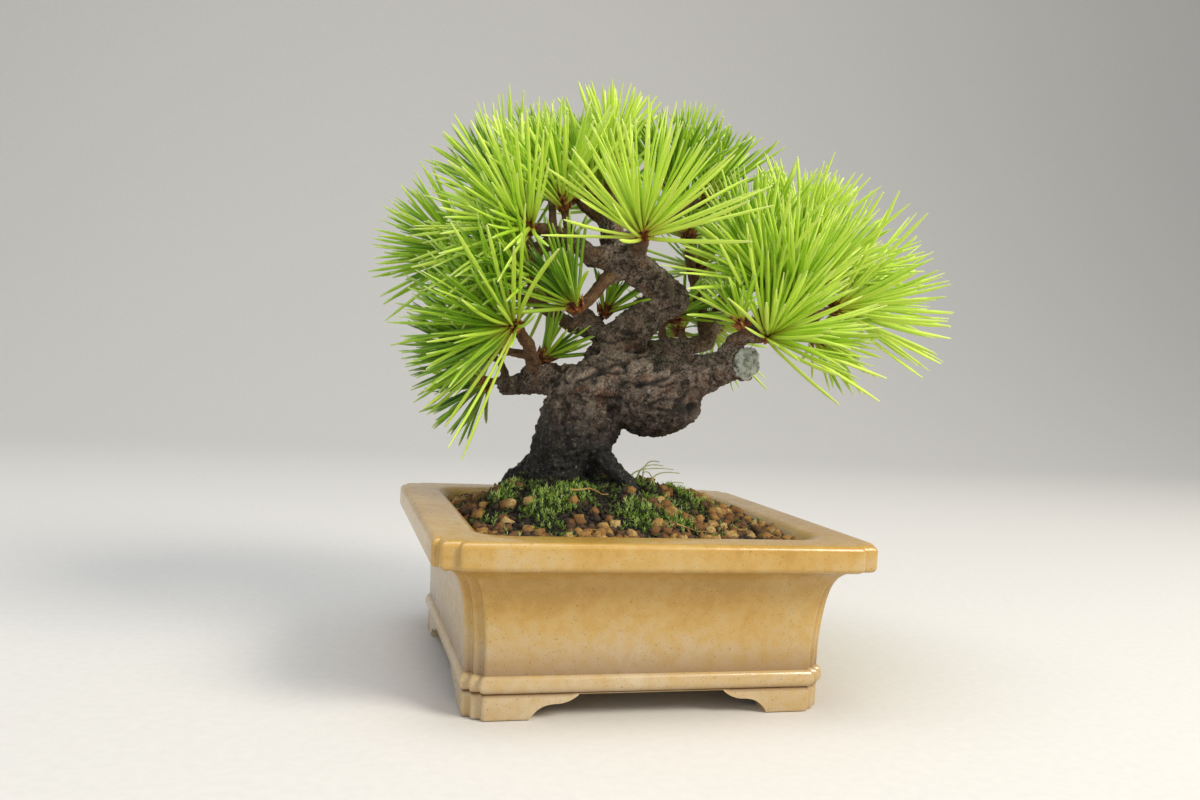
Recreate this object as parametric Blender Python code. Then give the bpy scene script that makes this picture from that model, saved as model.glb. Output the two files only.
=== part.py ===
"""A small pine bonsai growing in a square glazed pot with stepped corners and bracket feet.

The pot stands on the plane z = 0. The tree is set out from the pot's centre and from the top of its rim,
so it stays on the soil when the pot changes. At the end everything is shifted sideways until the middle
of the whole plant, seen from above, lies over the origin. Lengths are in metres.
"""

import math
import random

import bmesh
import bpy
import numpy as np
from mathutils import Vector

MM = 0.001
SEED = 41

# Pot
POT_WIDTH = 120.0 * MM          # across the rim, flat to flat
POT_HEIGHT = 47.2 * MM          # feet to rim top
RIM_DEPTH = 7.4 * MM            # height of the lip's outer face
RIM_WIDTH = 10.0 * MM           # flat top of the lip, outside edge to inner slope
RIM_ROUND = 1.6 * MM
RIM_SLOPE = 5.0 * MM            # how far the lip slopes inwards before the inner wall
RIM_SLOPE_DROP = 5.6 * MM
BODY_INSET = 10.8 * MM          # the body's foot stands this far inside the lip
FLARE_REACH = 3.2 * MM          # gentle outward sweep of the wall
COVE_REACH = 4.3 * MM           # tight curve under the lip
FLOOR_TOP = 11.5 * MM
FOOT_HEIGHT = 6.6 * MM
BELT_TOP = 11.5 * MM
BELT_BULGE = 1.0 * MM
BELT_GROOVE = 7.0 * MM          # height of the line under the belt
SKIRT_INSET = 10.6 * MM         # outside of the feet, in from the lip
SKIRT_THICKNESS = 6.5 * MM
FOOT_EDGE = 0.5 * MM
FOOT_LENGTH = 29.6 * MM         # along the wall at the top of a foot
FOOT_SOLE = 16.8 * MM           # along the wall where it stands
RIM_STEP = 2.2 * MM             # how far a corner is set back
RIM_STEP_LENGTH = 6.2 * MM
BODY_STEP = 2.0 * MM
BODY_STEP_LENGTH = 4.4 * MM
INNER_CORNER = 6.0 * MM
DRAIN_DIAMETER = 16.0 * MM
WIRE_HOLE_DIAMETER = 3.2 * MM
WIRE_HOLE_MARGIN = 2.5 * MM     # how far the middle of a wire hole lies outside the drainage screen

# Filling
GAP = 0.3 * MM                  # kept between pieces that touch
SCREEN_DIAMETER = 25.0 * MM
WIRE_HOLE_SPACING = SCREEN_DIAMETER + 2 * WIRE_HOLE_MARGIN
SCREEN_THICKNESS = 0.9 * MM
SCREEN_HOLE = 2.6 * MM
SCREEN_PITCH = 4.6 * MM
CLIP_WIRE = 1.2 * MM
CLIP_FOOT = 5.0 * MM
DRAINAGE_DEPTH = 6.0 * MM
SOIL_BELOW_RIM = 3.0 * MM       # soil level along the walls
MOUND_RISE = 13.8 * MM          # the soil heaped up around the trunk
MOUND_LEFT = 24.0 * MM          # how far the heap spreads each way from its top
MOUND_RIGHT = 46.0 * MM
MOUND_DEPTH = 30.0 * MM
MOSS_GAP = 0.5 * MM
MOSS_THICKNESS = 2.4 * MM

# Tree
TREE_HEIGHT = 132.0 * MM        # rim top to the topmost needles
TREE_DRAWN = 132.0 * MM         # the height at which the tree's points below are given
TREE_SIZE = TREE_HEIGHT / TREE_DRAWN
TRUNK_SIDES = 12
BRANCH_SIDES = 8
TWIG_SIDES = 6
TWIG_RADIUS = 1.7 * MM
TWIG_TIP_RADIUS = 1.15 * MM
BUD_RADIUS = 2.0 * MM
NEEDLE_TIP = 0.24               # width of a needle's tip, as a share of its base
NEEDLE_SHORTEST = 7.0 * MM
NEEDLE_CLEARANCE = 0.55 * MM    # kept between a needle and everything else
NEEDLE_FREE_START = 2.2 * MM    # the stretch at its bud that is not measured
NEEDLE_ROOT = 6.0 * MM          # the stretch in which needles of one bud may be close
SEAL_DIAMETER = 9.2 * MM
SEAL_THICKNESS = 1.3 * MM

RIM_HALF = POT_WIDTH / 2
BODY_HALF = RIM_HALF - BODY_INSET
SKIRT_HALF = RIM_HALF - SKIRT_INSET
INNER_HALF = RIM_HALF - RIM_WIDTH - RIM_SLOPE
RIM_BOTTOM = POT_HEIGHT - RIM_DEPTH
SOIL_LEVEL = POT_HEIGHT - SOIL_BELOW_RIM
DRAINAGE_BOTTOM = FLOOR_TOP + GAP
DRAINAGE_TOP = DRAINAGE_BOTTOM + DRAINAGE_DEPTH
CORNER_POINTS = 11

# The trunk's thick parts, as tubes of (x, y, height above the rim, radius) in millimetres.
TRUNK_TUBES = {
    "column": [(-14, 4, -9, 13.0), (-15, 4, 4, 13.0), (-15, 4, 12, 12.0), (-12.5, 3, 21, 12.4),
               (-10, 2, 29, 13.0), (-9, 1, 36, 11.0), (-8, 1, 41, 7.5)],
    "neck": [(-5, 3, 38, 10.0), (-2, 4, 45, 8.4), (1, 5, 50, 7.3), (5, 6, 56, 6.6), (10, 7, 61, 5.8),
             (15, 6, 65, 5.2)],
    "hook": [(17, 5, 66, 4.9), (11, 2, 70, 5.4), (4, 0, 74, 5.3), (-2, -1, 78, 4.8), (-5, 0, 83, 4.0),
             (-5, 0, 93, 3.1), (-7, -3, 101, 2.1)],
    "stub": [(11, -5, 38, 9.0), (20, -8, 42, 7.2), (26, -10, 44, 6.0), (32, -12, 46.5, 5.4)],
    "stub_end": [(32, -11, 46.2, 5.4), (32.9, -15.5, 46.8, 5.2), (33.4, -18.2, 47.0, 4.9)],
}

# Swellings of the trunk: centre, radii along its own axes, tilt about Y in degrees, and fineness.
TRUNK_SWELLINGS = [
    ((9.5, -4, 36), (15.6, 13.2, 13.0), 6, 3),
    ((-7, 1, 37), (15.0, 12.0, 10.0), -18, 3),
    ((17, 5, 66), (6.1, 5.9, 6.1), 0, 2),
    ((32, -11.5, 46.5), (6.0, 5.8, 5.7), 0, 2),
    ((-1, -2, 77), (6.6, 6.0, 5.6), 0, 2),
]

# Branches and roots: tubes of (x, y, height above the rim, radius) in millimetres.
BRANCHES = {
    "crown_knob": [(-1, -3, 76, 4.0), (1, -10, 80, 3.2), (-1, -17, 81, 2.4)],
    "left_top": [(-4, -2, 77, 4.4), (-12, -5, 76, 3.4), (-17, -7, 79, 2.8), (-22, -9, 81, 2.5),
                 (-30, -12, 82, 2.0)],
    "left_top_back": [(-16, -6, 79, 2.4), (-22, 2, 80, 2.2), (-29, 10, 78, 2.0), (-38, 14, 77, 1.7)],
    "v_branch": [(2, 0, 74, 3.0), (-7, -4, 70, 2.2), (-12, -7, 64, 2.0), (-17, -9, 59, 2.0),
                 (-24, -10, 64, 1.8), (-29, -12, 67, 1.5)],
    "left_low": [(-12, 5, 38, 7.0), (-20, 10, 39, 5.0), (-27, 17, 37, 3.6), (-33, 22, 35, 2.6)],
    "left_low_up": [(-22, 12, 38, 3.0), (-26, 6, 44, 2.4), (-29, -2, 49, 2.0), (-33, -9, 52, 1.7)],
    "left_mid": [(2, 6, 52, 4.2), (-5, 10, 55, 3.2), (-13, 12, 56, 2.6), (-19, 16, 60, 2.2),
                 (-25, 22, 64, 1.8)],
    "right_main": [(29, -10, 47, 3.8), (31.5, -14, 54, 2.8), (35, -20, 56, 2.4)],
    "right_up": [(33, -17, 55, 2.4), (38, -18, 61, 2.1), (39, -18, 67, 1.9)],
    "right_far": [(33, -16, 55, 2.4), (41, -19, 57, 2.2), (48, -19, 59, 2.0), (56, -17, 62, 1.8)],
    "back_right": [(5, 4, 46, 5.0), (13, 11, 49, 4.2), (21, 14, 51, 3.6), (34, 17, 53, 2.9),
                   (37, 18, 61, 2.5), (39, 18, 68, 2.2), (43, 16, 75, 1.9)],
    "back_right_up": [(34, 17, 53, 2.4), (33, 22, 66, 2.2), (31, 26, 76, 1.9), (29, 27, 85, 1.6)],
    "back_far": [(20, 13, 51, 2.9), (30, 28, 52, 2.4), (42, 40, 56, 1.9)],
    "top_right": [(-3, -1, 80, 3.6), (7, 4, 86, 3.0), (16, 6, 93, 2.6), (24, 6, 98, 2.0)],
    "top_back": [(-3, 0, 81, 3.4), (-2, 13, 88, 2.8), (0, 26, 94, 2.2)],
    "back_left": [(-3, 6, 52, 4.0), (-8, 18, 60, 3.0), (-14, 30, 68, 2.2)],
    "root_front": [(-8, -3, 22, 4.2), (-6, -9, 17, 3.2), (-4, -12, 14, 2.8), (0, -15, 10, 2.6),
                   (4, -18, 3, 2.2)],
    "root_left": [(-20, 8, 14, 4.6), (-28, 14, 7, 3.6), (-34, 19, -2, 2.4)],
    "root_back": [(-12, 12, 14, 4.6), (-8, 20, 7, 3.6), (-4, 28, -2, 2.4)],
}

# Tufts of needles: bud (x, y, height above the rim), the way it points, needle length, the angle its
# outermost needles lean out by, and the branch its twig leaves. Millimetres and degrees.
TUFTS = {
    "crown_front": ((-2, -22, 84), (-0.20, -0.50, 0.84), 34, 78, "crown_knob"),
    "apex": ((-8, -4, 104), (0.04, 0.00, 1.00), 25, 34, "hook"),
    "left_top_front": ((-35, -14, 83), (-0.90, -0.30, 0.30), 33, 60, "left_top"),
    "top_left_mid": ((-23, -8, 92), (-0.35, -0.22, 0.91), 29, 42, "left_top"),
    "top_mid": ((-11, 4, 96), (-0.15, 0.00, 0.99), 29, 40, "hook"),
    "top_left_back": ((-36, 12, 96), (-0.53, 0.20, 0.82), 28, 45, "left_top_back"),
    "top_left_up": ((-24, 12, 100), (-0.40, 0.15, 0.90), 26, 42, "left_top_back"),
    "left_edge": ((-49, 8, 76), (-0.98, 0.05, 0.16), 29, 46, "left_top_back"),
    "left_inner": ((-33, 1, 76), (-0.93, -0.30, 0.10), 27, 40, "left_top_back"),
    "v_fan": ((-19, -13, 62), (-0.70, -0.30, 0.65), 24, 38, "v_branch"),
    "v_end": ((-34, -14, 69), (-0.90, -0.35, 0.15), 27, 42, "v_branch"),
    "left_low_front": ((-38, -15, 54), (-0.90, -0.40, 0.05), 36, 66, "left_low_up"),
    "left_low_mid": ((-41, 3, 47), (-0.98, -0.10, 0.05), 28, 48, "left_low_up"),
    "left_low_back": ((-38, 27, 36), (-0.88, 0.30, -0.30), 21, 60, "left_low"),
    "left_low_far": ((-36, 36, 46), (-0.60, 0.75, 0.20), 26, 55, "left_low"),
    "left_back": ((-33, 28, 66), (-0.75, 0.62, 0.25), 29, 55, "left_mid"),
    "left_back_top": ((-28, 26, 84), (-0.50, 0.55, 0.67), 29, 50, "left_mid"),
    "inner_left": ((-21, 11, 46), (0.72, -0.50, 0.48), 16, 42, "left_low"),
    "inner_mid": ((-2, 13, 62), (0.30, -0.20, 0.93), 15, 40, "left_mid"),
    "inner_right": ((24, 20, 62), (0.80, -0.35, 0.45), 20, 34, "back_right"),
    "right_front": ((39, -25, 57), (0.52, -0.60, 0.60), 33, 66, "right_main"),
    "right_mid": ((46, -22, 68), (0.05, -0.30, 0.95), 33, 42, "right_up"),
    "right_top": ((53, -10, 83), (0.20, 0.00, 0.98), 30, 30, "right_up"),
    "right_top_left": ((38, -10, 79), (-0.05, -0.05, 1.00), 32, 38, "right_up"),
    "right_small": ((29, -23, 60), (-0.56, -0.30, 0.77), 17, 36, "right_main"),
    "right_cross": ((37, -19, 72), (-0.70, -0.35, 0.62), 33, 32, "right_up"),
    "right_far": ((65, -16, 66), (0.95, -0.18, 0.24), 34, 44, "right_far"),
    "right_up": ((60, -12, 76), (0.70, 0.05, 0.71), 30, 42, "right_far"),
    "right_low": ((59, -13, 56), (0.88, 0.00, -0.36), 20, 50, "right_far"),
    "right_back": ((55, 10, 74), (0.78, 0.45, 0.43), 30, 50, "back_right"),
    "right_back_top": ((45, 14, 84), (0.35, 0.30, 0.89), 28, 44, "back_right"),
    "top_right": ((27, 5, 101), (0.14, 0.00, 0.99), 24, 42, "top_right"),
    "top_right_mid": ((13, -2, 101), (-0.10, -0.25, 0.96), 26, 40, "top_right"),
    "back_right_top": ((29, 27, 91), (0.15, 0.45, 0.88), 27, 48, "back_right_up"),
    "back_right_out": ((36, 33, 80), (0.45, 0.80, 0.40), 28, 52, "back_right_up"),
    "back_far": ((47, 43, 60), (0.68, 0.70, 0.20), 28, 58, "back_far"),
    "back_low": ((32, 40, 58), (0.10, 0.95, 0.30), 25, 55, "back_far"),
    "top_back": ((0, 30, 98), (0.05, 0.60, 0.80), 28, 55, "top_back"),
    "top_back_left": ((-13, 21, 99), (-0.35, 0.45, 0.82), 28, 48, "top_back"),
    "back_left": ((-16, 34, 72), (-0.25, 0.95, 0.20), 29, 62, "back_left"),
}

# Cushions of moss: centre on the soil (x, y) and half lengths, in millimetres.
MOSS_CUSHIONS = {
    "moss_front_left": ((-21, -21), (12, 7)),
    "moss_front_middle": ((6, -27), (12, 8)),
    "moss_left": ((-34, -4), (5, 7)),
    "moss_right": ((25, -5), (11, 7)),
    "moss_back_left": ((-22, 30), (9, 6)),
    "moss_back_right": ((16, 23), (12, 8)),
}


def material(name, colour, roughness, metallic=0.0):
    """Return a Principled material of one linear colour."""
    made = bpy.data.materials.new(name)
    made.use_nodes = True
    shader = made.node_tree.nodes["Principled BSDF"]
    shader.inputs["Base Color"].default_value = (*colour, 1.0)
    shader.inputs["Roughness"].default_value = roughness
    shader.inputs["Metallic"].default_value = metallic
    made.diffuse_color = (*colour, 1.0)
    return made


def collection(name):
    """Return a new collection in the scene."""
    made = bpy.data.collections.new(name)
    bpy.context.scene.collection.children.link(made)
    return made


def mesh_object(name, bm, group, finish=None, smooth_angle=40.0):
    """Turn a bmesh into an object shaded smooth up to an angle."""
    bmesh.ops.recalc_face_normals(bm, faces=bm.faces)
    mesh = bpy.data.meshes.new(name)
    bm.to_mesh(mesh)
    bm.free()
    made = bpy.data.objects.new(name, mesh)
    group.objects.link(made)
    if finish:
        mesh.materials.append(finish)
    mesh.shade_smooth()
    mesh.set_sharp_from_angle(angle=math.radians(smooth_angle))
    return made


def guide(made):
    """Mark an object as a construction aid."""
    made.hide_render = True
    made.display_type = "WIRE"
    return made


def loft(rings):
    """Join rings of equal point counts with quads and close both ends."""
    bm = bmesh.new()
    loops = [[bm.verts.new(point) for point in ring] for ring in rings]
    count = len(rings[0])
    for lower, upper in zip(loops, loops[1:]):
        for i in range(count):
            j = (i + 1) % count
            bm.faces.new((lower[i], lower[j], upper[j], upper[i]))
    bm.faces.new(loops[0])
    bm.faces.new(loops[-1])
    return bm


def boolean(target, cutter, operation):
    """Add a Boolean modifier that reads another object."""
    modifier = target.modifiers.new(f"{operation.title()} {cutter.name}", "BOOLEAN")
    modifier.operation = operation
    modifier.object = cutter


def evaluated_mesh(source):
    """Return the object's mesh as its modifiers leave it."""
    bpy.context.view_layer.update()
    graph = bpy.context.evaluated_depsgraph_get()
    return bpy.data.meshes.new_from_object(source.evaluated_get(graph))


def weld(mesh):
    """Merge the loose caps of a mesh made from a curve."""
    bm = bmesh.new()
    bm.from_mesh(mesh)
    bmesh.ops.remove_doubles(bm, verts=bm.verts, dist=0.001 * MM)
    bmesh.ops.recalc_face_normals(bm, faces=bm.faces)
    bm.to_mesh(mesh)
    bm.free()


def tube(name, points, radii, group, sides=8):
    """Return a round mesh tube with flat ends along the points."""
    curve = bpy.data.curves.new(name, "CURVE")
    curve.dimensions = "3D"
    curve.bevel_depth = 1.0
    curve.bevel_resolution = (sides - 4) // 2
    curve.use_fill_caps = True
    spline = curve.splines.new("POLY")
    spline.points.add(len(points) - 1)
    for target, point, radius in zip(spline.points, points, radii):
        target.co = (*point, 1.0)
        target.radius = radius
    drawn = bpy.data.objects.new(f"{name}_curve", curve)
    group.objects.link(drawn)
    mesh = evaluated_mesh(drawn)
    weld(mesh)
    mesh.name = name
    made = bpy.data.objects.new(name, mesh)
    made.matrix_world = drawn.matrix_world
    group.objects.link(made)
    bpy.data.objects.remove(drawn)
    return made


def rounded_corner(before, corner, after, radius, count):
    """Return points of a round corner between two straight runs."""
    entry = corner + (before - corner).normalized() * radius
    leave = corner + (after - corner).normalized() * radius
    points = []
    for i in range(count):
        t = i / (count - 1)
        points.append(entry.lerp(corner, t).lerp(corner.lerp(leave, t), t))
    return points


def quarter_turns(points):
    """Repeat the points of one corner round the square."""
    outline = []
    for turn in range(4):
        c, s = [(1, 0), (0, 1), (-1, 0), (0, -1)][turn]
        outline += [Vector((c * p.x - s * p.y, s * p.x + c * p.y)) for p in points]
    return outline


def stepped_square(half, step, length, rounding):
    """Return a square outline whose corners are set back in a step."""
    start = Vector((half, half - length))
    inner_a = Vector((half - step, half - length))
    tip = Vector((half - step, half - step))
    inner_b = Vector((half - length, half - step))
    end = Vector((half - length, half))
    corner = rounded_corner(Vector((half, 0)), start, inner_a, rounding, 3)
    corner.append(inner_a)
    corner += rounded_corner(inner_a, tip, inner_b, rounding, 3)
    corner.append(inner_b)
    corner += rounded_corner(inner_b, end, Vector((0, half)), rounding, 3)
    return quarter_turns(corner)


def plain_square(half, radius):
    """Return a square outline with round corners."""
    corner = []
    for i in range(CORNER_POINTS):
        angle = math.radians(90) * i / (CORNER_POINTS - 1)
        middle = half - radius
        corner.append(Vector((middle + radius * math.cos(angle), middle + radius * math.sin(angle))))
    return quarter_turns(corner)


def at_height(outline, z):
    """Lift an outline to a height."""
    return [Vector((p.x, p.y, z)) for p in outline]


def wall_flare(z):
    """Return how far the wall leans out above the belt."""
    t = max(0.0, (z - BELT_TOP) / (RIM_BOTTOM - BELT_TOP))
    return FLARE_REACH * t ** 2.2 + COVE_REACH * t ** 12


def pot_rings():
    """Return the pot's rings from the inner floor, over the lip and down to the underside."""
    rings = [at_height(plain_square(INNER_HALF - 2 * MM, INNER_CORNER), FLOOR_TOP)]
    rings.append(at_height(plain_square(INNER_HALF, INNER_CORNER), FLOOR_TOP + 2 * MM))
    slope_steps = 4
    for i in range(slope_steps + 1):
        angle = math.radians(90) * i / slope_steps
        half = INNER_HALF + RIM_SLOPE * (1 - math.cos(angle))
        z = POT_HEIGHT - RIM_SLOPE_DROP * (1 - math.sin(angle))
        rings.append(at_height(plain_square(half, INNER_CORNER + half - INNER_HALF), z))

    def rim(half, z):
        return at_height(stepped_square(half, RIM_STEP, RIM_STEP_LENGTH, 1.0 * MM), z)

    for degrees in (90, 55, 20):
        angle = math.radians(degrees)
        inset = RIM_ROUND * (1 - math.cos(angle))
        rings.append(rim(RIM_HALF - inset, POT_HEIGHT - RIM_ROUND * (1 - math.sin(angle))))
    rings.append(rim(RIM_HALF, RIM_BOTTOM + 1.4 * MM))
    rings.append(rim(RIM_HALF - 0.9 * MM, RIM_BOTTOM + 0.2 * MM))

    def body(half, z):
        return at_height(stepped_square(half, BODY_STEP, BODY_STEP_LENGTH, 0.8 * MM), z)

    for share in (0.985, 0.93, 0.84, 0.68, 0.42, 0.0):
        z = BELT_TOP + share * (RIM_BOTTOM - BELT_TOP)
        rings.append(body(BODY_HALF + wall_flare(z), z))
    belt_middle = (BELT_TOP + BELT_GROOVE) / 2
    belt_radius = (BELT_TOP - BELT_GROOVE) / 2
    for degrees in (60, 25, -25, -60):
        angle = math.radians(degrees)
        z = belt_middle + belt_radius * math.sin(angle)
        rings.append(body(BODY_HALF + BELT_BULGE * math.cos(angle), z))
    rings.append(body(BODY_HALF, BELT_GROOVE))
    rings.append(body(SKIRT_HALF, BELT_GROOVE - 0.4 * MM))
    rings.append(body(SKIRT_HALF, FOOT_EDGE))
    rings.append(body(SKIRT_HALF - FOOT_EDGE, 0.0))
    inner_skirt = SKIRT_HALF - SKIRT_THICKNESS
    rings.append(at_height(plain_square(inner_skirt, INNER_CORNER), 0.0))
    rings.append(at_height(plain_square(inner_skirt, INNER_CORNER), FOOT_HEIGHT))
    return rings


def foot_opening(name, turn, group):
    """Return a cutter whose sides have the bracket outline of two feet."""
    top = SKIRT_HALF - FOOT_LENGTH
    sole = SKIRT_HALF - FOOT_SOLE
    reach = sole - top
    below = 2 * MM
    shape = [(0.0, 1.0), (0.08, 0.86), (0.20, 0.73), (0.35, 0.645), (0.50, 0.63), (0.66, 0.58),
             (0.80, 0.46), (0.91, 0.28), (0.98, 0.12), (1.0, 0.0)]
    side = [(top + reach * u, FOOT_HEIGHT * v) for u, v in shape]
    side.append((sole, -below))
    outline = side + [(-x, z) for x, z in reversed(side)]
    ends = (-RIM_HALF, RIM_HALF)
    bm = loft([[Vector((x, y, z)) for x, z in outline] for y in ends])
    made = guide(mesh_object(name, bm, group))
    made.rotation_euler.z = turn
    return made


def cylinder(name, diameter, z_low, z_high, group, sides=24, centre=(0.0, 0.0)):
    """Return an upright cylinder between two heights."""
    bm = bmesh.new()
    bmesh.ops.create_cone(bm, cap_ends=True, segments=sides, radius1=diameter / 2, radius2=diameter / 2,
                          depth=z_high - z_low)
    made = mesh_object(name, bm, group)
    made.location = (*centre, (z_low + z_high) / 2)
    return made


def make_pot(group, tools, finish):
    """Build the pot and cut its feet, drain and wire holes."""
    pot = mesh_object("pot", loft(pot_rings()), group, finish)
    for i in range(2):
        boolean(pot, foot_opening(f"foot_opening_{i}", math.radians(90) * i, tools), "DIFFERENCE")
    below = FOOT_HEIGHT - 2 * MM
    above = FLOOR_TOP + 2 * MM
    boolean(pot, guide(cylinder("drain_hole", DRAIN_DIAMETER, below, above, tools)), "DIFFERENCE")
    for i in range(4):
        angle = math.radians(90) * i
        spot = (WIRE_HOLE_SPACING / 2 * math.cos(angle), WIRE_HOLE_SPACING / 2 * math.sin(angle))
        hole = cylinder(f"wire_hole_{i}", WIRE_HOLE_DIAMETER, below, above, tools, 12, spot)
        boolean(pot, guide(hole), "DIFFERENCE")
    return pot


def make_screen(group, tools, finish):
    """Build the mesh disc over the drain."""
    low = FLOOR_TOP + GAP
    screen = cylinder("drainage_screen", SCREEN_DIAMETER, low, low + SCREEN_THICKNESS, group, 32)
    screen.data.materials.append(finish)
    count = 3
    for i in range(-count, count + 1):
        for j in range(-count, count + 1):
            centre = Vector((i, j)) * SCREEN_PITCH
            if centre.length + SCREEN_HOLE > SCREEN_DIAMETER / 2:
                continue
            bm = bmesh.new()
            bmesh.ops.create_cube(bm, size=SCREEN_HOLE)
            hole = guide(mesh_object(f"screen_hole_{i}_{j}", bm, tools))
            hole.location = (*centre, low)
            boolean(screen, hole, "DIFFERENCE")
    return screen


def make_clip(group, tools, finish):
    """Build the wire staple that holds the screen down."""
    top = FLOOR_TOP + GAP + SCREEN_THICKNESS + GAP + CLIP_WIRE / 2
    low = FOOT_HEIGHT - GAP - CLIP_WIRE / 2
    reach = WIRE_HOLE_SPACING / 2
    bend = CLIP_WIRE
    half = [(0.0, top), (reach - bend, top), (reach - 0.3 * bend, top - 0.3 * bend), (reach, top - bend),
            (reach, low + bend), (reach + 0.3 * bend, low + 0.3 * bend), (reach + bend, low),
            (reach + CLIP_FOOT, low)]
    path = [(-x, z) for x, z in reversed(half[1:])] + half
    points = [Vector((x, 0.0, z)) for x, z in path]
    clip = tube("screen_clip", points, [CLIP_WIRE / 2] * len(points), group)
    clip.data.materials.append(finish)
    return clip


def soil_height(x, y):
    """Return the height of the soil at a place."""
    across = x + 14 * MM
    dx = across / (MOUND_RIGHT if across > 0 else MOUND_LEFT)
    dy = (y - 2 * MM) / MOUND_DEPTH
    mound = math.exp(-(dx * dx + dy * dy) ** 1.5)
    ripple = math.sin(x / (6.5 * MM)) * math.cos(y / (7.5 * MM) + 0.6)
    return SOIL_LEVEL + MOUND_RISE * mound + 0.45 * MM * ripple


def make_drainage(group, tools, finish):
    """Build the coarse bottom layer, hollowed over the screen and its clip."""
    outline = plain_square(INNER_HALF - GAP, INNER_CORNER)
    floor = plain_square(INNER_HALF - GAP - 2 * MM, INNER_CORNER)
    rings = [at_height(floor, DRAINAGE_BOTTOM), at_height(outline, DRAINAGE_BOTTOM + 2 * MM),
             at_height(outline, DRAINAGE_TOP)]
    layer = mesh_object("drainage_layer", loft(rings), group, finish)
    recess_top = FLOOR_TOP + SCREEN_THICKNESS + CLIP_WIRE + 3 * GAP
    recess_width = WIRE_HOLE_SPACING + 2 * CLIP_WIRE + 2 * GAP
    recess = guide(cylinder("screen_recess", recess_width, FLOOR_TOP - 2 * MM, recess_top, tools, 32))
    boolean(layer, recess, "DIFFERENCE")
    return layer


def make_soil(group, tools, roots, finish):
    """Build the heaped soil with a socket for the roots."""
    bm = bmesh.new()
    cells = 24
    bmesh.ops.create_grid(bm, x_segments=cells, y_segments=cells, size=RIM_HALF)
    for vert in bm.verts:
        vert.co.z = soil_height(vert.co.x, vert.co.y)
    lowered = bmesh.ops.extrude_face_region(bm, geom=list(bm.faces))
    bottom = DRAINAGE_TOP + GAP
    for vert in [item for item in lowered["geom"] if isinstance(item, bmesh.types.BMVert)]:
        vert.co.z = bottom - 3 * MM
    soil = mesh_object("soil_mound", bm, group, finish)
    outline = plain_square(INNER_HALF - GAP, INNER_CORNER)
    rings = [at_height(outline, bottom), at_height(outline, POT_HEIGHT + 3 * MOUND_RISE)]
    prism = guide(mesh_object("soil_outline", loft(rings), tools))
    boolean(soil, prism, "INTERSECT")
    boolean(soil, roots, "DIFFERENCE")
    return soil


def make_moss(name, centre, half_lengths, group, roots, finish):
    """Build a low cushion that follows the soil."""
    rings = []
    count = 18
    profile = ((0.15, 0.0), (0.6, 0.0), (0.93, 0.0), (1.0, 0.35), (0.8, 0.8), (0.45, 1.0), (0.15, 1.05))
    for share, lift in profile:
        ring = []
        for i in range(count):
            angle = 2 * math.pi * i / count
            lobe = 1 + 0.12 * math.sin(3 * angle + centre[0])
            x = (centre[0] + half_lengths[0] * share * lobe * math.cos(angle)) * MM
            y = (centre[1] + half_lengths[1] * share * lobe * math.sin(angle)) * MM
            ring.append(Vector((x, y, soil_height(x, y) + MOSS_GAP + lift * MOSS_THICKNESS)))
        rings.append(ring)
    cushion = mesh_object(name, loft(rings), group, finish)
    boolean(cushion, roots, "DIFFERENCE")
    return cushion


def tree_point(x, y, z):
    """Return a point of the tree from its place beside the pot's centre and above the rim."""
    return Vector((x, y, z)) * MM * TREE_SIZE + Vector((0.0, 0.0, POT_HEIGHT))


def tree_tube(name, stations, group, sides, swell=0.0):
    """Return a tube through stations of (x, y, z, radius)."""
    points = [tree_point(*station[:3]) for station in stations]
    radii = [station[3] * MM * TREE_SIZE + swell for station in stations]
    if swell:
        points[0] = points[0] + (points[0] - points[1]).normalized() * swell
        points[-1] = points[-1] + (points[-1] - points[-2]).normalized() * swell
    return tube(name, points, radii, group, sides)


def swelling(name, centre, radii, tilt, fineness, group):
    """Return a rounded lump of the trunk."""
    bm = bmesh.new()
    bmesh.ops.create_icosphere(bm, subdivisions=fineness, radius=1.0)
    scale = [radius * MM * TREE_SIZE for radius in radii]
    bmesh.ops.scale(bm, vec=scale, verts=bm.verts)
    made = mesh_object(name, bm, group)
    made.location = tree_point(*centre)
    made.rotation_euler.y = math.radians(tilt)
    return made


def nearest_on_branch(stations, target):
    """Return the point of a branch's middle line nearest to a place, and the thickness there."""
    best = None
    for start, end in zip(stations, stations[1:]):
        a = tree_point(*start[:3])
        b = tree_point(*end[:3])
        t = min(1.0, max(0.0, (target - a).dot(b - a) / (b - a).length_squared))
        place = a.lerp(b, t)
        radius = (start[3] + (end[3] - start[3]) * t) * MM * TREE_SIZE
        if best is None or (place - target).length < (best[0] - target).length:
            best = (place, radius)
    return best


def twig_path(bud, direction, stations):
    """Return the points and radii of the twig that carries a bud."""
    end = bud - direction * (BUD_RADIUS + GAP)
    behind = bud - direction * 12 * MM
    start, thickness = nearest_on_branch(stations, behind)
    reach = (end - start).length
    lead = end - direction * 0.45 * reach
    points = []
    radii = []
    steps = 3
    base = min(TWIG_RADIUS, 0.85 * thickness)
    for i in range(steps + 1):
        t = i / steps
        points.append(start.lerp(lead, t).lerp(lead.lerp(end, t), t))
        radii.append(base + (TWIG_TIP_RADIUS - base) * t)
    return points, radii


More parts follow.
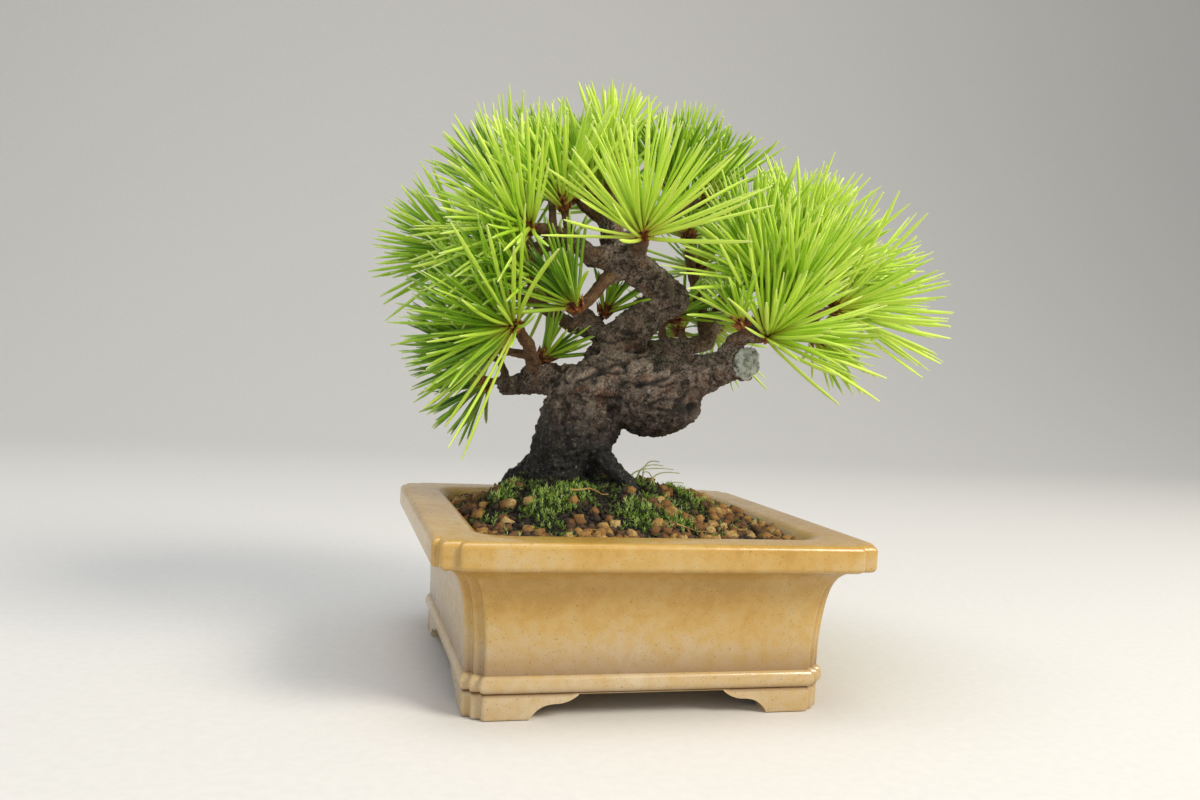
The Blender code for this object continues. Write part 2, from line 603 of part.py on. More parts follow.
class Occupied:
    """The tapered rods that needles keep clear of."""

    def __init__(self):
        self.rods = []

    def add(self, start, end, radius_start, radius_end):
        self.rods.append((*start, *end, radius_start, radius_end))

    def add_path(self, points, radii):
        for i in range(len(points) - 1):
            self.add(points[i], points[i + 1], radii[i], radii[i + 1])

    def clear_length(self, start, direction, length, radius_start, radius_end):
        """Return how far a needle reaches before it comes too near a rod."""
        if not self.rods:
            return length
        rods = np.array(self.rods)
        a = rods[:, 0:3]
        along = rods[:, 3:6] - a
        size = np.maximum((along ** 2).sum(axis=1), 1e-12)
        steps = 22
        first = NEEDLE_FREE_START / length
        for i in range(steps + 1):
            t = first + (1 - first) * i / steps
            point = np.array(start + direction * length * t)
            s = np.clip(((point - a) * along).sum(axis=1) / size, 0.0, 1.0)
            offset = np.linalg.norm(point - a - along * s[:, None], axis=1)
            rod = rods[:, 6] + (rods[:, 7] - rods[:, 6]) * s
            needle = radius_start + (radius_end - radius_start) * t
            if (offset - rod).min() < needle + NEEDLE_CLEARANCE:
                return length * max(0.0, t - 1.5 / steps)
        return length


def needle_options(face_direction, axis, spread, rng):
    """Return ways a needle may lean, the plain one first."""
    lean = face_direction.angle(axis)
    side = face_direction - axis * face_direction.dot(axis)
    if side.length < 0.05:
        side = axis.orthogonal()
    side.normalize()
    across = axis.cross(side)
    options = []
    for i in range(10):
        tilt = lean * math.radians(spread) / math.radians(85)
        turn = 0.0
        if i:
            tilt += math.radians(rng.uniform(-9, 9))
            turn = math.radians(rng.uniform(-14, 14))
        outward = side * math.cos(turn) + across * math.sin(turn)
        options.append(axis * math.cos(tilt) + outward * math.sin(tilt))
    return options


def make_tuft(name, spec, group, occupied, finish, rng):
    """Build a bud with its spreading needles as one body."""
    place, aim, length, spread, branch = spec
    bud = tree_point(*place)
    axis = Vector(aim).normalized()
    turn = axis.to_track_quat("Z", "Y").to_matrix()
    reach = length * MM * TREE_SIZE
    bm = bmesh.new()
    bmesh.ops.create_icosphere(bm, subdivisions=1, radius=BUD_RADIUS)
    roll = rng.uniform(0, 2 * math.pi)
    bmesh.ops.rotate(bm, cent=(0, 0, 0), matrix=Vector((0, 0, 1)).rotation_difference(Vector((
        math.sin(roll) * 0.3, math.cos(roll) * 0.3, 1))).to_matrix(), verts=bm.verts)
    chosen = [face for face in bm.faces if face.calc_center_median().normalized().z > 0.08]
    chosen.sort(key=lambda face: -face.calc_center_median().z)
    plans = []
    needles = []
    beside = Occupied()
    for face in chosen:
        centre = face.calc_center_median()
        base_radius = (face.verts[0].co - centre).length
        start = bud + turn @ centre
        outward = turn @ centre.normalized()
        best_length = 0.0
        best_direction = axis
        for direction in needle_options(outward, axis, spread, rng):
            clear = min(rods.clear_length(start, direction, reach, base_radius, base_radius * NEEDLE_TIP)
                        for rods in (occupied, beside))
            if clear > best_length:
                best_length = clear
                best_direction = direction
            if clear >= reach:
                break
        if best_length >= NEEDLE_SHORTEST:
            plans.append((face, best_direction, best_length))
            tip = start + best_direction * best_length
            root = start + best_direction * min(NEEDLE_ROOT, 0.5 * best_length)
            beside.add(root, tip, base_radius * 0.85, base_radius * NEEDLE_TIP)
            needles.append((start, tip, base_radius, base_radius * NEEDLE_TIP))
    grown = bmesh.ops.extrude_discrete_faces(bm, faces=[plan[0] for plan in plans])
    back = turn.inverted()
    for face, (_, direction, reach_clear) in zip(grown["faces"], plans):
        centre = face.calc_center_median()
        tip = centre + back @ direction * reach_clear
        for vert in face.verts:
            vert.co = tip + (vert.co - centre) * NEEDLE_TIP
    for rod in needles:
        occupied.add(*rod)
    tuft = mesh_object(f"tuft_{name}", bm, group, finish, 30.0)
    tuft.location = bud
    tuft.rotation_euler = turn.to_euler()
    return tuft


def union_all(name, pieces, group, finish):
    """Unite solids into one object, one after another."""
    whole = pieces[0]
    for piece in pieces[1:]:
        boolean(whole, piece, "UNION")
        united = evaluated_mesh(whole)
        whole.modifiers.clear()
        whole.data = united
        bpy.data.objects.remove(piece)
    made = bpy.data.objects.new(name, whole.data)
    made.data.name = name
    made.data.materials.clear()
    made.data.materials.append(finish)
    made.data.shade_smooth()
    made.data.set_sharp_from_angle(angle=math.radians(50))
    group.objects.link(made)
    bpy.data.objects.remove(whole)
    return made


def make_wood(group, tools, finish, occupied):
    """Build the trunk, branches, surface roots and twigs as one body."""
    pieces = []
    for name, stations in TRUNK_TUBES.items():
        pieces.append(tree_tube(name, stations, tools, TRUNK_SIDES))
    for i, (centre, radii, tilt, fineness) in enumerate(TRUNK_SWELLINGS):
        pieces.append(swelling(f"swelling_{i}", centre, radii, tilt, fineness, tools))
        middle = tree_point(*centre)
        occupied.add(middle, middle, max(radii) * MM * TREE_SIZE, max(radii) * MM * TREE_SIZE)
    for name, stations in BRANCHES.items():
        pieces.append(tree_tube(name, stations, tools, BRANCH_SIDES))
    for stations in [*TRUNK_TUBES.values(), *BRANCHES.values()]:
        points = [tree_point(*station[:3]) for station in stations]
        occupied.add_path(points, [station[3] * MM * TREE_SIZE for station in stations])
    carriers = {**TRUNK_TUBES, **BRANCHES}
    for name, (place, aim, _, _, branch) in TUFTS.items():
        bud = tree_point(*place)
        occupied.add(bud, bud, BUD_RADIUS, BUD_RADIUS)
        points, radii = twig_path(bud, Vector(aim).normalized(), carriers[branch])
        pieces.append(tube(f"twig_{name}", points, radii, tools, TWIG_SIDES))
        occupied.add_path(points, radii)
    return union_all("trunk_and_branches", pieces, group, finish)


def make_root_socket(tools):
    """Return the buried wood swollen by the gap, which shapes the soil's socket."""
    pieces = [tree_tube("socket_column", TRUNK_TUBES["column"], tools, TRUNK_SIDES, GAP * 1.3)]
    for name in ("root_front", "root_left", "root_back"):
        pieces.append(tree_tube(f"socket_{name}", BRANCHES[name], tools, BRANCH_SIDES, GAP * 1.3))
    socket = union_all("root_socket", pieces, tools, None)
    return guide(socket)


def make_seal(group, finish):
    """Build the domed wound seal on the end of the cut stub."""
    last = tree_point(*TRUNK_TUBES["stub_end"][-1][:3])
    before = tree_point(*TRUNK_TUBES["stub_end"][-2][:3])
    axis = (last - before).normalized()
    radius = SEAL_DIAMETER / 2
    rings = []
    count = 20
    for share, lift in ((1.0, 0.0), (1.03, 0.35), (0.9, 0.75), (0.6, 0.95), (0.2, 1.0)):
        rings.append([Vector((radius * share * math.cos(2 * math.pi * i / count),
                              radius * share * math.sin(2 * math.pi * i / count),
                              GAP + SEAL_THICKNESS * lift)) for i in range(count)])
    seal = mesh_object("cut_seal", loft(rings), group, finish)
    seal.location = last
    seal.rotation_euler = axis.to_track_quat("Z", "Y").to_euler()
    return seal


def world_bounds(objects):
    """Return the least and greatest corner of the finished objects."""
    bpy.context.view_layer.update()
    graph = bpy.context.evaluated_depsgraph_get()
    corners = []
    for item in objects:
        shown = item.evaluated_get(graph)
        mesh = shown.to_mesh()
        corners += [item.matrix_world @ vert.co for vert in mesh.vertices]
        shown.to_mesh_clear()
    low = [min(corner[axis] for corner in corners) for axis in range(3)]
    high = [max(corner[axis] for corner in corners) for axis in range(3)]
    return low, high


def main():
    for item in list(bpy.data.objects):
        bpy.data.objects.remove(item)
    rng = random.Random(SEED)
    plant = collection("bonsai_tree_in_a_pot")
    tools = collection("construction")

    glaze = material("ochre glaze over stoneware", (0.42, 0.26, 0.075), 0.28)
    bark = material("wet pine bark", (0.045, 0.028, 0.020), 0.75)
    needle = material("fresh pine needles", (0.22, 0.46, 0.03), 0.5)
    soil = material("baked clay grains", (0.16, 0.075, 0.035), 0.9)
    gravel = material("coarse pumice gravel", (0.35, 0.28, 0.20), 0.95)
    moss = material("green moss", (0.05, 0.14, 0.015), 0.95)
    plastic = material("black plastic mesh", (0.02, 0.02, 0.02), 0.5)
    wire = material("brown coated aluminium wire", (0.16, 0.08, 0.04), 0.35, 1.0)
    putty = material("grey wound sealing putty", (0.42, 0.44, 0.44), 0.6)

    pieces = [make_pot(plant, tools, glaze)]
    pieces.append(make_screen(plant, tools, plastic))
    pieces.append(make_clip(plant, tools, wire))
    pieces.append(make_drainage(plant, tools, gravel))
    occupied = Occupied()
    pieces.append(make_wood(plant, tools, bark, occupied))
    socket = make_root_socket(tools)
    pieces.append(make_soil(plant, tools, socket, soil))
    for name, (centre, half_lengths) in MOSS_CUSHIONS.items():
        pieces.append(make_moss(name, centre, half_lengths, plant, socket, moss))
    pieces.append(make_seal(plant, putty))
    for name, spec in TUFTS.items():
        pieces.append(make_tuft(name, spec, plant, occupied, needle, rng))

    root = bpy.data.objects.new("bonsai_frame", None)
    plant.objects.link(root)
    for item in [*pieces, *tools.objects]:
        item.parent = root
    low, high = world_bounds(pieces)
    root.location = (-(low[0] + high[0]) / 2, -(low[1] + high[1]) / 2, 0.0)
    bpy.context.view_layer.update()


main()
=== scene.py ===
# %% [markdown]
# # A small pine bonsai in a square glazed pot
#
# This lesson gives a plain CAD model of a potted pine its finished looks. The CAD says where everything is:
# the pot, the trunk, the soil and the bud of each tuft of needles. Here each of them gets its real surface:
# glaze, bark, fired-clay grains, moss and some thousands of needles.

# %% Load the CAD model
import math
import random

import bmesh
import bpy
import numpy as np
from mathutils import Matrix, Vector, noise
from mathutils.bvhtree import BVHTree


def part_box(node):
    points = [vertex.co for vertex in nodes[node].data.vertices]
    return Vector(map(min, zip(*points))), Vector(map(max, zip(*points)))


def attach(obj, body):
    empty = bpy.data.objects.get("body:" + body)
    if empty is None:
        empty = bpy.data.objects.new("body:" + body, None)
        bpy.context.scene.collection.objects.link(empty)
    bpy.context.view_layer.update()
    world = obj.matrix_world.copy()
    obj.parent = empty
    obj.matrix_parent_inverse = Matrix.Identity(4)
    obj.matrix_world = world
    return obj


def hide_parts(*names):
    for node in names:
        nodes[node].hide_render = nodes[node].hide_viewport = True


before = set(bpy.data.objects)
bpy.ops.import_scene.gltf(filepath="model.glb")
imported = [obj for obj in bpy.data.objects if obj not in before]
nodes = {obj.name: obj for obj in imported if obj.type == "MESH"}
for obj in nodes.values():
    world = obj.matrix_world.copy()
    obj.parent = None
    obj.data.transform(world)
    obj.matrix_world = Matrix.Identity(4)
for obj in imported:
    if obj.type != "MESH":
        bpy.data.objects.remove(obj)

MM = 0.001
noise.seed_set(5)            # without a fixed seed the noise vectors change with the clock
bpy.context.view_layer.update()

# %% [markdown]
# ## Places taken from the CAD
#
# The middle of the pot and the top of its rim are measured from the CAD, and the pot stands on the plane at
# height zero. A helper copies a CAD mesh with its loose triangles welded, because smoothing, measuring and
# remeshing all need neighbours that share their corners.

# %% Pot centre and welded copies
pot_low, pot_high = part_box("pot")
POT = Vector(((pot_low[0] + pot_high[0]) / 2, (pot_low[1] + pot_high[1]) / 2, 0.0))
RIM_HALF = (pot_high[0] - pot_low[0]) / 2
RIM_TOP = pot_high[2]


def welded(node):
    """Return a bmesh copy of a CAD node with its doubles merged."""
    bm = bmesh.new()
    bm.from_mesh(nodes[node].data)
    bmesh.ops.remove_doubles(bm, verts=bm.verts, dist=0.002 * MM)
    return bm


def new_object(name, mesh):
    """Return an object that shows a mesh, at the origin."""
    made = bpy.data.objects.new(name, mesh)
    bpy.context.scene.collection.objects.link(made)
    return made


def mesh_from(bm, name):
    """Turn a bmesh into a mesh with smooth shading."""
    mesh = bpy.data.meshes.new(name)
    bm.to_mesh(mesh)
    bm.free()
    mesh.shade_smooth()
    return mesh


def evaluated(made):
    """Return the plain mesh that an object's modifiers make."""
    graph = bpy.context.evaluated_depsgraph_get()
    return bpy.data.meshes.new_from_object(made.evaluated_get(graph))


def remeshed(made, cell):
    """Rebuild a solid's skin from cells of one size and return the new mesh."""
    modifier = made.modifiers.new("cells", "REMESH")
    modifier.mode = "VOXEL"
    modifier.voxel_size = cell
    mesh = evaluated(made)
    made.modifiers.clear()
    made.data = mesh
    return mesh


def coordinates(mesh):
    """Return a mesh's vertex places as an array."""
    places = np.empty(len(mesh.vertices) * 3)
    mesh.vertices.foreach_get("co", places)
    return places.reshape(-1, 3)


def store(mesh, name, values):
    """Store one number for each vertex, for the materials and the scattering to read."""
    layer = mesh.attributes.new(name, "FLOAT", "POINT")
    layer.data.foreach_set("value", np.asarray(values, dtype=np.float32))


def finished(made, slot, *replaced):
    """Hang a finished piece on the plant, hide the CAD nodes it stands for and print its triangle count."""
    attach(made, "root")
    if replaced:
        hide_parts(*replaced)
    triangles = sum(len(face.vertices) - 2 for face in made.data.polygons)
    print(f"{made.name}: {triangles} triangles")


print("rim half width", round(RIM_HALF / MM, 1), "mm, rim top", round(RIM_TOP / MM, 1), "mm")

# %% [markdown]
# ## Two helpers for node trees
#
# Materials and Geometry Nodes are both trees of nodes. One function adds a node, sets it up and links its
# inputs. Many of the small finishes here are only patches of a few colours, so another starts those.
# Colours are written as the sRGB hex codes a painter would pick, and turned into linear light once.

# %% Colour and node helpers
def linear(code):
    """Turn an sRGB hex colour into linear red, green, blue and alpha."""
    channels = [int(code[i:i + 2], 16) / 255 for i in (1, 3, 5)]
    return tuple(c / 12.92 if c <= 0.04045 else ((c + 0.055) / 1.055) ** 2.4 for c in channels) + (1.0,)


def add(tree, kind, links=None, stops=None, **settings):
    """Add one node; links fills its inputs with values, sockets or nodes, and stops fills a colour ramp."""
    node = tree.nodes.new(kind)
    for name, value in settings.items():
        setattr(node, name, value)
    for key, value in (links or {}).items():
        if isinstance(value, bpy.types.Node):
            value = value.outputs[0]
        if isinstance(value, bpy.types.NodeSocket):
            tree.links.new(value, node.inputs[key])
        else:
            node.inputs[key].default_value = value
    if stops:
        ramp = node.color_ramp
        while len(ramp.elements) < len(stops):
            ramp.elements.new(1.0)
        for element, (place, colour) in zip(ramp.elements, stops):
            element.position = place
            element.color = linear(colour) if isinstance(colour, str) else (colour, colour, colour, 1.0)
    return node


def new_finish(name, **values):
    """Start a Principled material; values that are the same all over go straight on the shader."""
    made = bpy.data.materials.new(name)
    made.use_nodes = True
    shader = made.node_tree.nodes["Principled BSDF"]
    for key, value in values.items():
        shader.inputs[key.replace("_", " ")].default_value = value
    return made, made.node_tree, shader


def mottled_finish(name, patch_mm, stops, pattern=None, bump=None, **values):
    """Start a finish coloured by noise with patches of a real size; bump is a strength and a height in mm."""
    made, tree, shader = new_finish(name, **values)
    where = add(tree, "ShaderNodeTexCoord").outputs["Object"]
    patch = add(tree, "ShaderNodeTexNoise", {
        "Vector": where, "Scale": 1 / (patch_mm * MM), **(pattern or {})})
    colour = add(tree, "ShaderNodeValToRGB", {"Fac": patch}, stops=stops)
    tree.links.new(colour.outputs[0], shader.inputs["Base Color"])
    if bump:
        raised = add(tree, "ShaderNodeBump", {"Height": patch, "Strength": bump[0], "Distance": bump[1] * MM})
        tree.links.new(raised.outputs[0], shader.inputs["Normal"])
    return made, tree, shader, patch


def new_tree(name, **inputs):
    """Start a Geometry Nodes tree; return it, the sockets of its inputs and the identifier of each one."""
    tree = bpy.data.node_groups.new(name, "GeometryNodeTree")
    tree.interface.new_socket("Geometry", in_out="OUTPUT", socket_type="NodeSocketGeometry")
    tree.interface.new_socket("Geometry", in_out="INPUT", socket_type="NodeSocketGeometry")
    keys = {}
    for label, kind in inputs.items():
        made = tree.interface.new_socket(label, in_out="INPUT", socket_type=f"NodeSocket{kind}")
        keys[label] = made.identifier
    return tree, tree.nodes.new("NodeGroupInput").outputs, keys


def grown(name, base, tree, keys, **values):
    """Run a Geometry Nodes tree on a mesh and keep the result as a plain mesh object."""
    made = new_object(name, base)
    modifier = made.modifiers.new("grow", "NODES")
    modifier.node_group = tree
    for label, value in values.items():
        modifier[keys[label]] = value
    mesh = evaluated(made)
    made.modifiers.clear()
    made.data = mesh
    mesh.name = name
    return made


print("helpers ready; mid ochre in linear light:", [round(c, 3) for c in linear("#B98F47")])

# %% [markdown]
# ## The glaze
#
# The pot is stoneware dipped in an iron-bearing honey glaze and fired to a soft gloss. To the eye that
# means a golden brown high on the wall under the lip and a paler tan lower down, partly the glaze, thick
# under the lip and thin where it runs off edges, and partly painted light: painted shade under the lip and
# a painted highlight haze lower down. Then come fine dark iron specks, small pinholes, and brown pools in
# every groove. All of it is built from noise whose scale is set in real millimetres: clouds of about 25 mm,
# mottling of 4 mm and specks of half a millimetre.

# %% Honey stoneware glaze
glaze, tree, shader = new_finish("honey iron glaze on stoneware",
    Coat_Weight=0.35, Coat_Roughness=0.08, IOR=1.52)
where = add(tree, "ShaderNodeTexCoord").outputs["Object"]
split = add(tree, "ShaderNodeSeparateXYZ", {0: where})
clouds = add(tree, "ShaderNodeTexNoise", {"Vector": where, "Scale": 1 / (25 * MM), "Detail": 3.0})
mottle = add(tree, "ShaderNodeTexNoise", {
    "Vector": where, "Scale": 1 / (3.2 * MM), "Detail": 5.0, "Roughness": 0.65})
# The height band is partly the glaze, thick under the lip and thin lower down, and partly painted light:
# painted shade under the lip and a painted highlight haze on the lower wall.
height_glaze_and_painted_light = add(tree, "ShaderNodeMath", {0: split.outputs["Z"], 1: RIM_TOP}, operation="DIVIDE")
height_glaze_and_painted_light = add(tree, "ShaderNodeValToRGB", {"Fac": height_glaze_and_painted_light}, stops=[
    (0.12, 0.05), (0.40, 0.25), (0.66, 0.80), (0.82, 0.85), (0.88, 0.55), (1.0, 0.85)])
# thickness adds the height band, with its painted shade and highlight, to the clouds and the mottle.
thickness = 0.0
for pattern, amount in ((height_glaze_and_painted_light, 0.42), (clouds, 0.65), (mottle, 0.50)):
    thickness = add(tree, "ShaderNodeMath", {0: pattern, 1: amount, 2: thickness}, operation="MULTIPLY_ADD")
body = add(tree, "ShaderNodeValToRGB", {"Fac": thickness}, stops=[
    (0.42, "#CDBA98"), (0.60, "#C4AA7E"), (0.77, "#C19F5C"), (0.92, "#BC9345"), (1.0, "#B38A3B")])
specks = add(tree, "ShaderNodeTexVoronoi", {"Vector": where, "Scale": 1 / (2.0 * MM)})
speck_size = add(tree, "ShaderNodeTexNoise", {"Vector": where, "Scale": 1 / (5 * MM), "Detail": 2.0})
speck_reach = add(tree, "ShaderNodeMath", {0: speck_size, 1: 0.21}, operation="MULTIPLY")
speck = add(tree, "ShaderNodeMath", {0: specks.outputs["Distance"], 1: speck_reach}, operation="LESS_THAN")
fine = add(tree, "ShaderNodeTexVoronoi", {"Vector": where, "Scale": 1 / (0.9 * MM)})
fine_speck = add(tree, "ShaderNodeMath", {0: fine.outputs["Distance"], 1: 0.16}, operation="LESS_THAN")
speck = add(tree, "ShaderNodeMath", {0: speck, 1: fine_speck}, operation="MAXIMUM")
speck = add(tree, "ShaderNodeMath", {0: speck, 1: 0.38}, operation="MULTIPLY")
spotted = add(tree, "ShaderNodeMix", {0: speck, 6: body.outputs[0], 7: linear("#4E3516")}, data_type="RGBA")
pool = add(tree, "ShaderNodeAttribute", attribute_name="pool")
pooled = add(tree, "ShaderNodeMix", {0: pool.outputs["Fac"], 6: spotted.outputs[2], 7: linear("#6B421A")},
             data_type="RGBA")
tree.links.new(pooled.outputs[2], shader.inputs["Base Color"])
gloss = add(tree, "ShaderNodeMapRange", {
    "Value": mottle, "From Min": 0.3, "From Max": 0.7, "To Min": 0.24, "To Max": 0.42})
tree.links.new(gloss.outputs[0], shader.inputs["Roughness"])
relief = add(tree, "ShaderNodeBump", {"Height": mottle, "Strength": 0.25, "Distance": 0.15 * MM})
pits = add(tree, "ShaderNodeBump", {
    "Height": speck, "Strength": 0.5, "Distance": 0.08 * MM, "Normal": relief.outputs[0]})
pits.invert = True
tree.links.new(pits.outputs[0], shader.inputs["Normal"])
print(glaze.name, "has", len(tree.nodes), "nodes")

# %% [markdown]
# ## The pot
#
# The pot was pressed in a mould, so every edge is softly rounded and its corners are stepped in. The CAD
# pot has flat facets on those curves. Rather than smoothing it, the same outline is lofted again with finer
# steps, then the openings between the feet and the holes in the floor are cut from it. The loft knows which
# ring lies in a groove, so it also stores how deep the glaze pools there.

# %% Outline of the pot
BODY_HALF = RIM_HALF - 10.8 * MM
SKIRT_HALF = RIM_HALF - 10.6 * MM
INNER_HALF = RIM_HALF - 15.0 * MM
RIM_BOTTOM = RIM_TOP - 7.4 * MM
FLOOR_TOP = 11.5 * MM
FOOT_HEIGHT = 6.6 * MM
BELT_TOP = 11.5 * MM
BELT_GROOVE = 7.0 * MM
ARC = 6                                        # points on each rounded edge of a stepped corner
WALL = (2.0 * MM, 4.4 * MM, 1.0 * MM)          # step, run and rounding of a corner of the wall
RIM = (1.7 * MM, 6.2 * MM, 1.15 * MM)          # the same for the rim


def fillet(before, corner, after, radius):
    """Return points of a round corner between two runs."""
    entry = corner + (before - corner).normalized() * radius
    leave = corner + (after - corner).normalized() * radius
    steps = [i / (ARC - 1) for i in range(ARC)]
    return [entry.lerp(corner, t).lerp(corner.lerp(leave, t), t) for t in steps]


def square(half, step, length, radius, flat=7):
    """Return a square outline; a step sets the corners back, and no step gives plain round corners."""
    if step:
        turns = [Vector((half, half - length)), Vector((half - step, half - length)),
                 Vector((half - step, half - step)), Vector((half - length, half - step)),
                 Vector((half - length, half))]
        radii = (radius, 0.45 * radius, radius, 0.45 * radius, radius)
        path = [Vector((half, 0)), *turns, Vector((0, half))]
        corner = []
        for i, r in enumerate(radii):
            corner += fillet(path[i], path[i + 1], path[i + 2], r)
    else:
        middle = half - radius
        count = 5 * ARC
        angles = [math.pi / 2 * i / (count - 1) for i in range(count)]
        corner = [Vector((middle + radius * math.cos(a), middle + radius * math.sin(a))) for a in angles]
    last = Vector((corner[-1].x, corner[-1].y))
    following = Vector((-corner[0].y, corner[0].x))
    corner += [last.lerp(following, i / (flat + 1)) for i in range(1, flat + 1)]
    outline = []
    for c, s in ((1, 0), (0, 1), (-1, 0), (0, -1)):
        outline += [Vector((c * p.x - s * p.y, s * p.x + c * p.y)) for p in corner]
    return outline


def flare(z):
    """Return how far the wall leans out above the belt."""
    t = max(0.0, (z - BELT_TOP) / (RIM_BOTTOM - BELT_TOP))
    return 3.2 * MM * t ** 2.2 + 4.3 * MM * t ** 12


print("an outline has", len(square(RIM_HALF, *RIM)), "points")

# %% Rings from the inner floor, over the rim and down to the soles
rings = []       # (outline, height, how much glaze pools there)
rings.append((square(INNER_HALF - 4 * MM, 0, 0, 5 * MM), FLOOR_TOP, 0.5))
rings.append((square(INNER_HALF - 1 * MM, 0, 0, 6 * MM), FLOOR_TOP + 1 * MM, 0.5))
rings.append((square(INNER_HALF, 0, 0, 6 * MM), FLOOR_TOP + 4 * MM, 0.2))
for i in range(13):
    angle = math.pi / 2 * i / 12
    half = INNER_HALF + 5.0 * MM * (1 - math.cos(angle))
    z = RIM_TOP - 5.6 * MM * (1 - math.sin(angle))
    rings.append((square(half, 0, 0, 6 * MM + half - INNER_HALF), z, 0.0))
for i in range(9):
    angle = math.pi / 2 * (1 - i / 8)
    half = RIM_HALF - 1.7 * MM * (1 - math.cos(angle))
    rings.append((square(half, *RIM), RIM_TOP - 1.7 * MM * (1 - math.sin(angle)), 0.0))
for i in range(7):
    angle = math.pi / 2 * i / 6
    half = RIM_HALF - 1.5 * MM * (1 - math.cos(angle))
    rings.append((square(half, *RIM), RIM_BOTTOM + 1.5 * MM * (1 - math.sin(angle)), 0.3 * i / 6))
for i in range(22):
    share = (1 - i / 21) ** 0.6
    z = BELT_TOP + (0.994 * share + 0.004) * (RIM_BOTTOM - BELT_TOP)
    pooling = 0.45 * math.exp(-i / 2.0) + 0.6 * math.exp(-(21 - i) / 1.2)
    rings.append((square(BODY_HALF + flare(z), *WALL), z, pooling))
for i in range(13):
    angle = math.radians(80 - 160 * i / 12)
    z = (BELT_TOP + BELT_GROOVE) / 2 + 2.2 * MM * math.sin(angle)
    pooling = 0.5 * max(0.0, -math.sin(angle)) ** 3
    rings.append((square(BODY_HALF + 1.15 * MM * math.cos(angle), *WALL), z, pooling))
for half, z, pooling in (
        (BODY_HALF - 0.2 * MM, BELT_GROOVE - 0.1 * MM, 0.9), (SKIRT_HALF, BELT_GROOVE - 0.5 * MM, 0.5),
        (SKIRT_HALF, BELT_GROOVE - 1.2 * MM, 0.0), (SKIRT_HALF, 0.7 * MM, 0.0),
        (SKIRT_HALF - 0.15 * MM, 0.25 * MM, 0.2), (SKIRT_HALF - 0.6 * MM, 0.0, 0.4)):
    rings.append((square(half, *WALL), z, pooling))
rings.append((square(SKIRT_HALF - 6.5 * MM, 0, 0, 6 * MM), 0.0, 0.4))
rings.append((square(SKIRT_HALF - 6.5 * MM, 0, 0, 6 * MM), FOOT_HEIGHT, 0.6))
print(len(rings), "rings of", len(rings[0][0]), "points")

# %% Loft the pot
bm = bmesh.new()
pool_layer = bm.verts.layers.float.new("pool")
loops = []
for outline, z, pooling in rings:
    loop = []
    for p in outline:
        vert = bm.verts.new((p.x + POT.x, p.y + POT.y, z))
        vert[pool_layer] = pooling
        loop.append(vert)
    loops.append(loop)
count = len(loops[0])
for lower, upper in zip(loops, loops[1:]):
    for i in range(count):
        bm.faces.new((lower[i], lower[(i + 1) % count], upper[(i + 1) % count], upper[i]))
bm.faces.new(loops[0])
bm.faces.new(loops[-1])
bmesh.ops.recalc_face_normals(bm, faces=bm.faces)
pot = new_object("glazed_pot", mesh_from(bm, "glazed_pot"))
print("lofted", len(pot.data.polygons), "faces")

# %% Cut the feet and the holes


def cut(made, cutter):
    """Take one solid away from another for good."""
    modifier = made.modifiers.new("cut", "BOOLEAN")
    modifier.operation = "DIFFERENCE"
    modifier.object = cutter
    mesh = evaluated(made)
    made.modifiers.clear()
    made.data = mesh
    bpy.data.objects.remove(cutter)


def opening(turn):
    """Return the solid between two bracket feet, with a concave sweep, a small step and an ogee."""
    top, sole = SKIRT_HALF - 29.6 * MM, SKIRT_HALF - 16.8 * MM
    shape = [(0.0, 1.0), (0.03, 0.93), (0.08, 0.86), (0.14, 0.79), (0.20, 0.73), (0.28, 0.68), (0.35, 0.645),
             (0.43, 0.63), (0.50, 0.63), (0.59, 0.61), (0.66, 0.58), (0.74, 0.53), (0.80, 0.46), (0.86, 0.38),
             (0.91, 0.28), (0.95, 0.20), (0.98, 0.12), (1.0, 0.0), (1.0, -0.3)]
    side = [(top + (sole - top) * u, FOOT_HEIGHT * v) for u, v in shape]
    outline = side + [(-x, z) for x, z in reversed(side)]
    bm = bmesh.new()
    ends = [[bm.verts.new((x, y, z)) for x, z in outline] for y in (-RIM_HALF, RIM_HALF)]
    for i in range(len(outline)):
        j = (i + 1) % len(outline)
        bm.faces.new((ends[0][i], ends[0][j], ends[1][j], ends[1][i]))
    bm.faces.new(ends[0])
    bm.faces.new(ends[1])
    bmesh.ops.recalc_face_normals(bm, faces=bm.faces)
    bmesh.ops.transform(bm, matrix=Matrix.Translation(POT) @ Matrix.Rotation(turn, 4, "Z"), verts=bm.verts)
    return new_object("opening", mesh_from(bm, "opening"))


def bore(x, y, diameter):
    """Return an upright cylinder through the pot's floor."""
    bm = bmesh.new()
    place = Matrix.Translation(POT + Vector((x, y, 9 * MM)))
    bmesh.ops.create_cone(bm, cap_ends=True, segments=32, radius1=diameter / 2, radius2=diameter / 2,
                          depth=12 * MM, matrix=place)
    return new_object("bore", mesh_from(bm, "bore"))


cut(pot, opening(0.0))
cut(pot, opening(math.pi / 2))
cut(pot, bore(0.0, 0.0, 16 * MM))
for i in range(4):
    cut(pot, bore(15 * MM * math.cos(math.pi / 2 * i), 15 * MM * math.sin(math.pi / 2 * i), 3.2 * MM))
pot.data.shade_smooth()
pot.data.set_sharp_from_angle(angle=math.radians(42))
pot.data.materials.clear()
pot.data.materials.append(glaze)
finished(pot, "glaze", "pot")
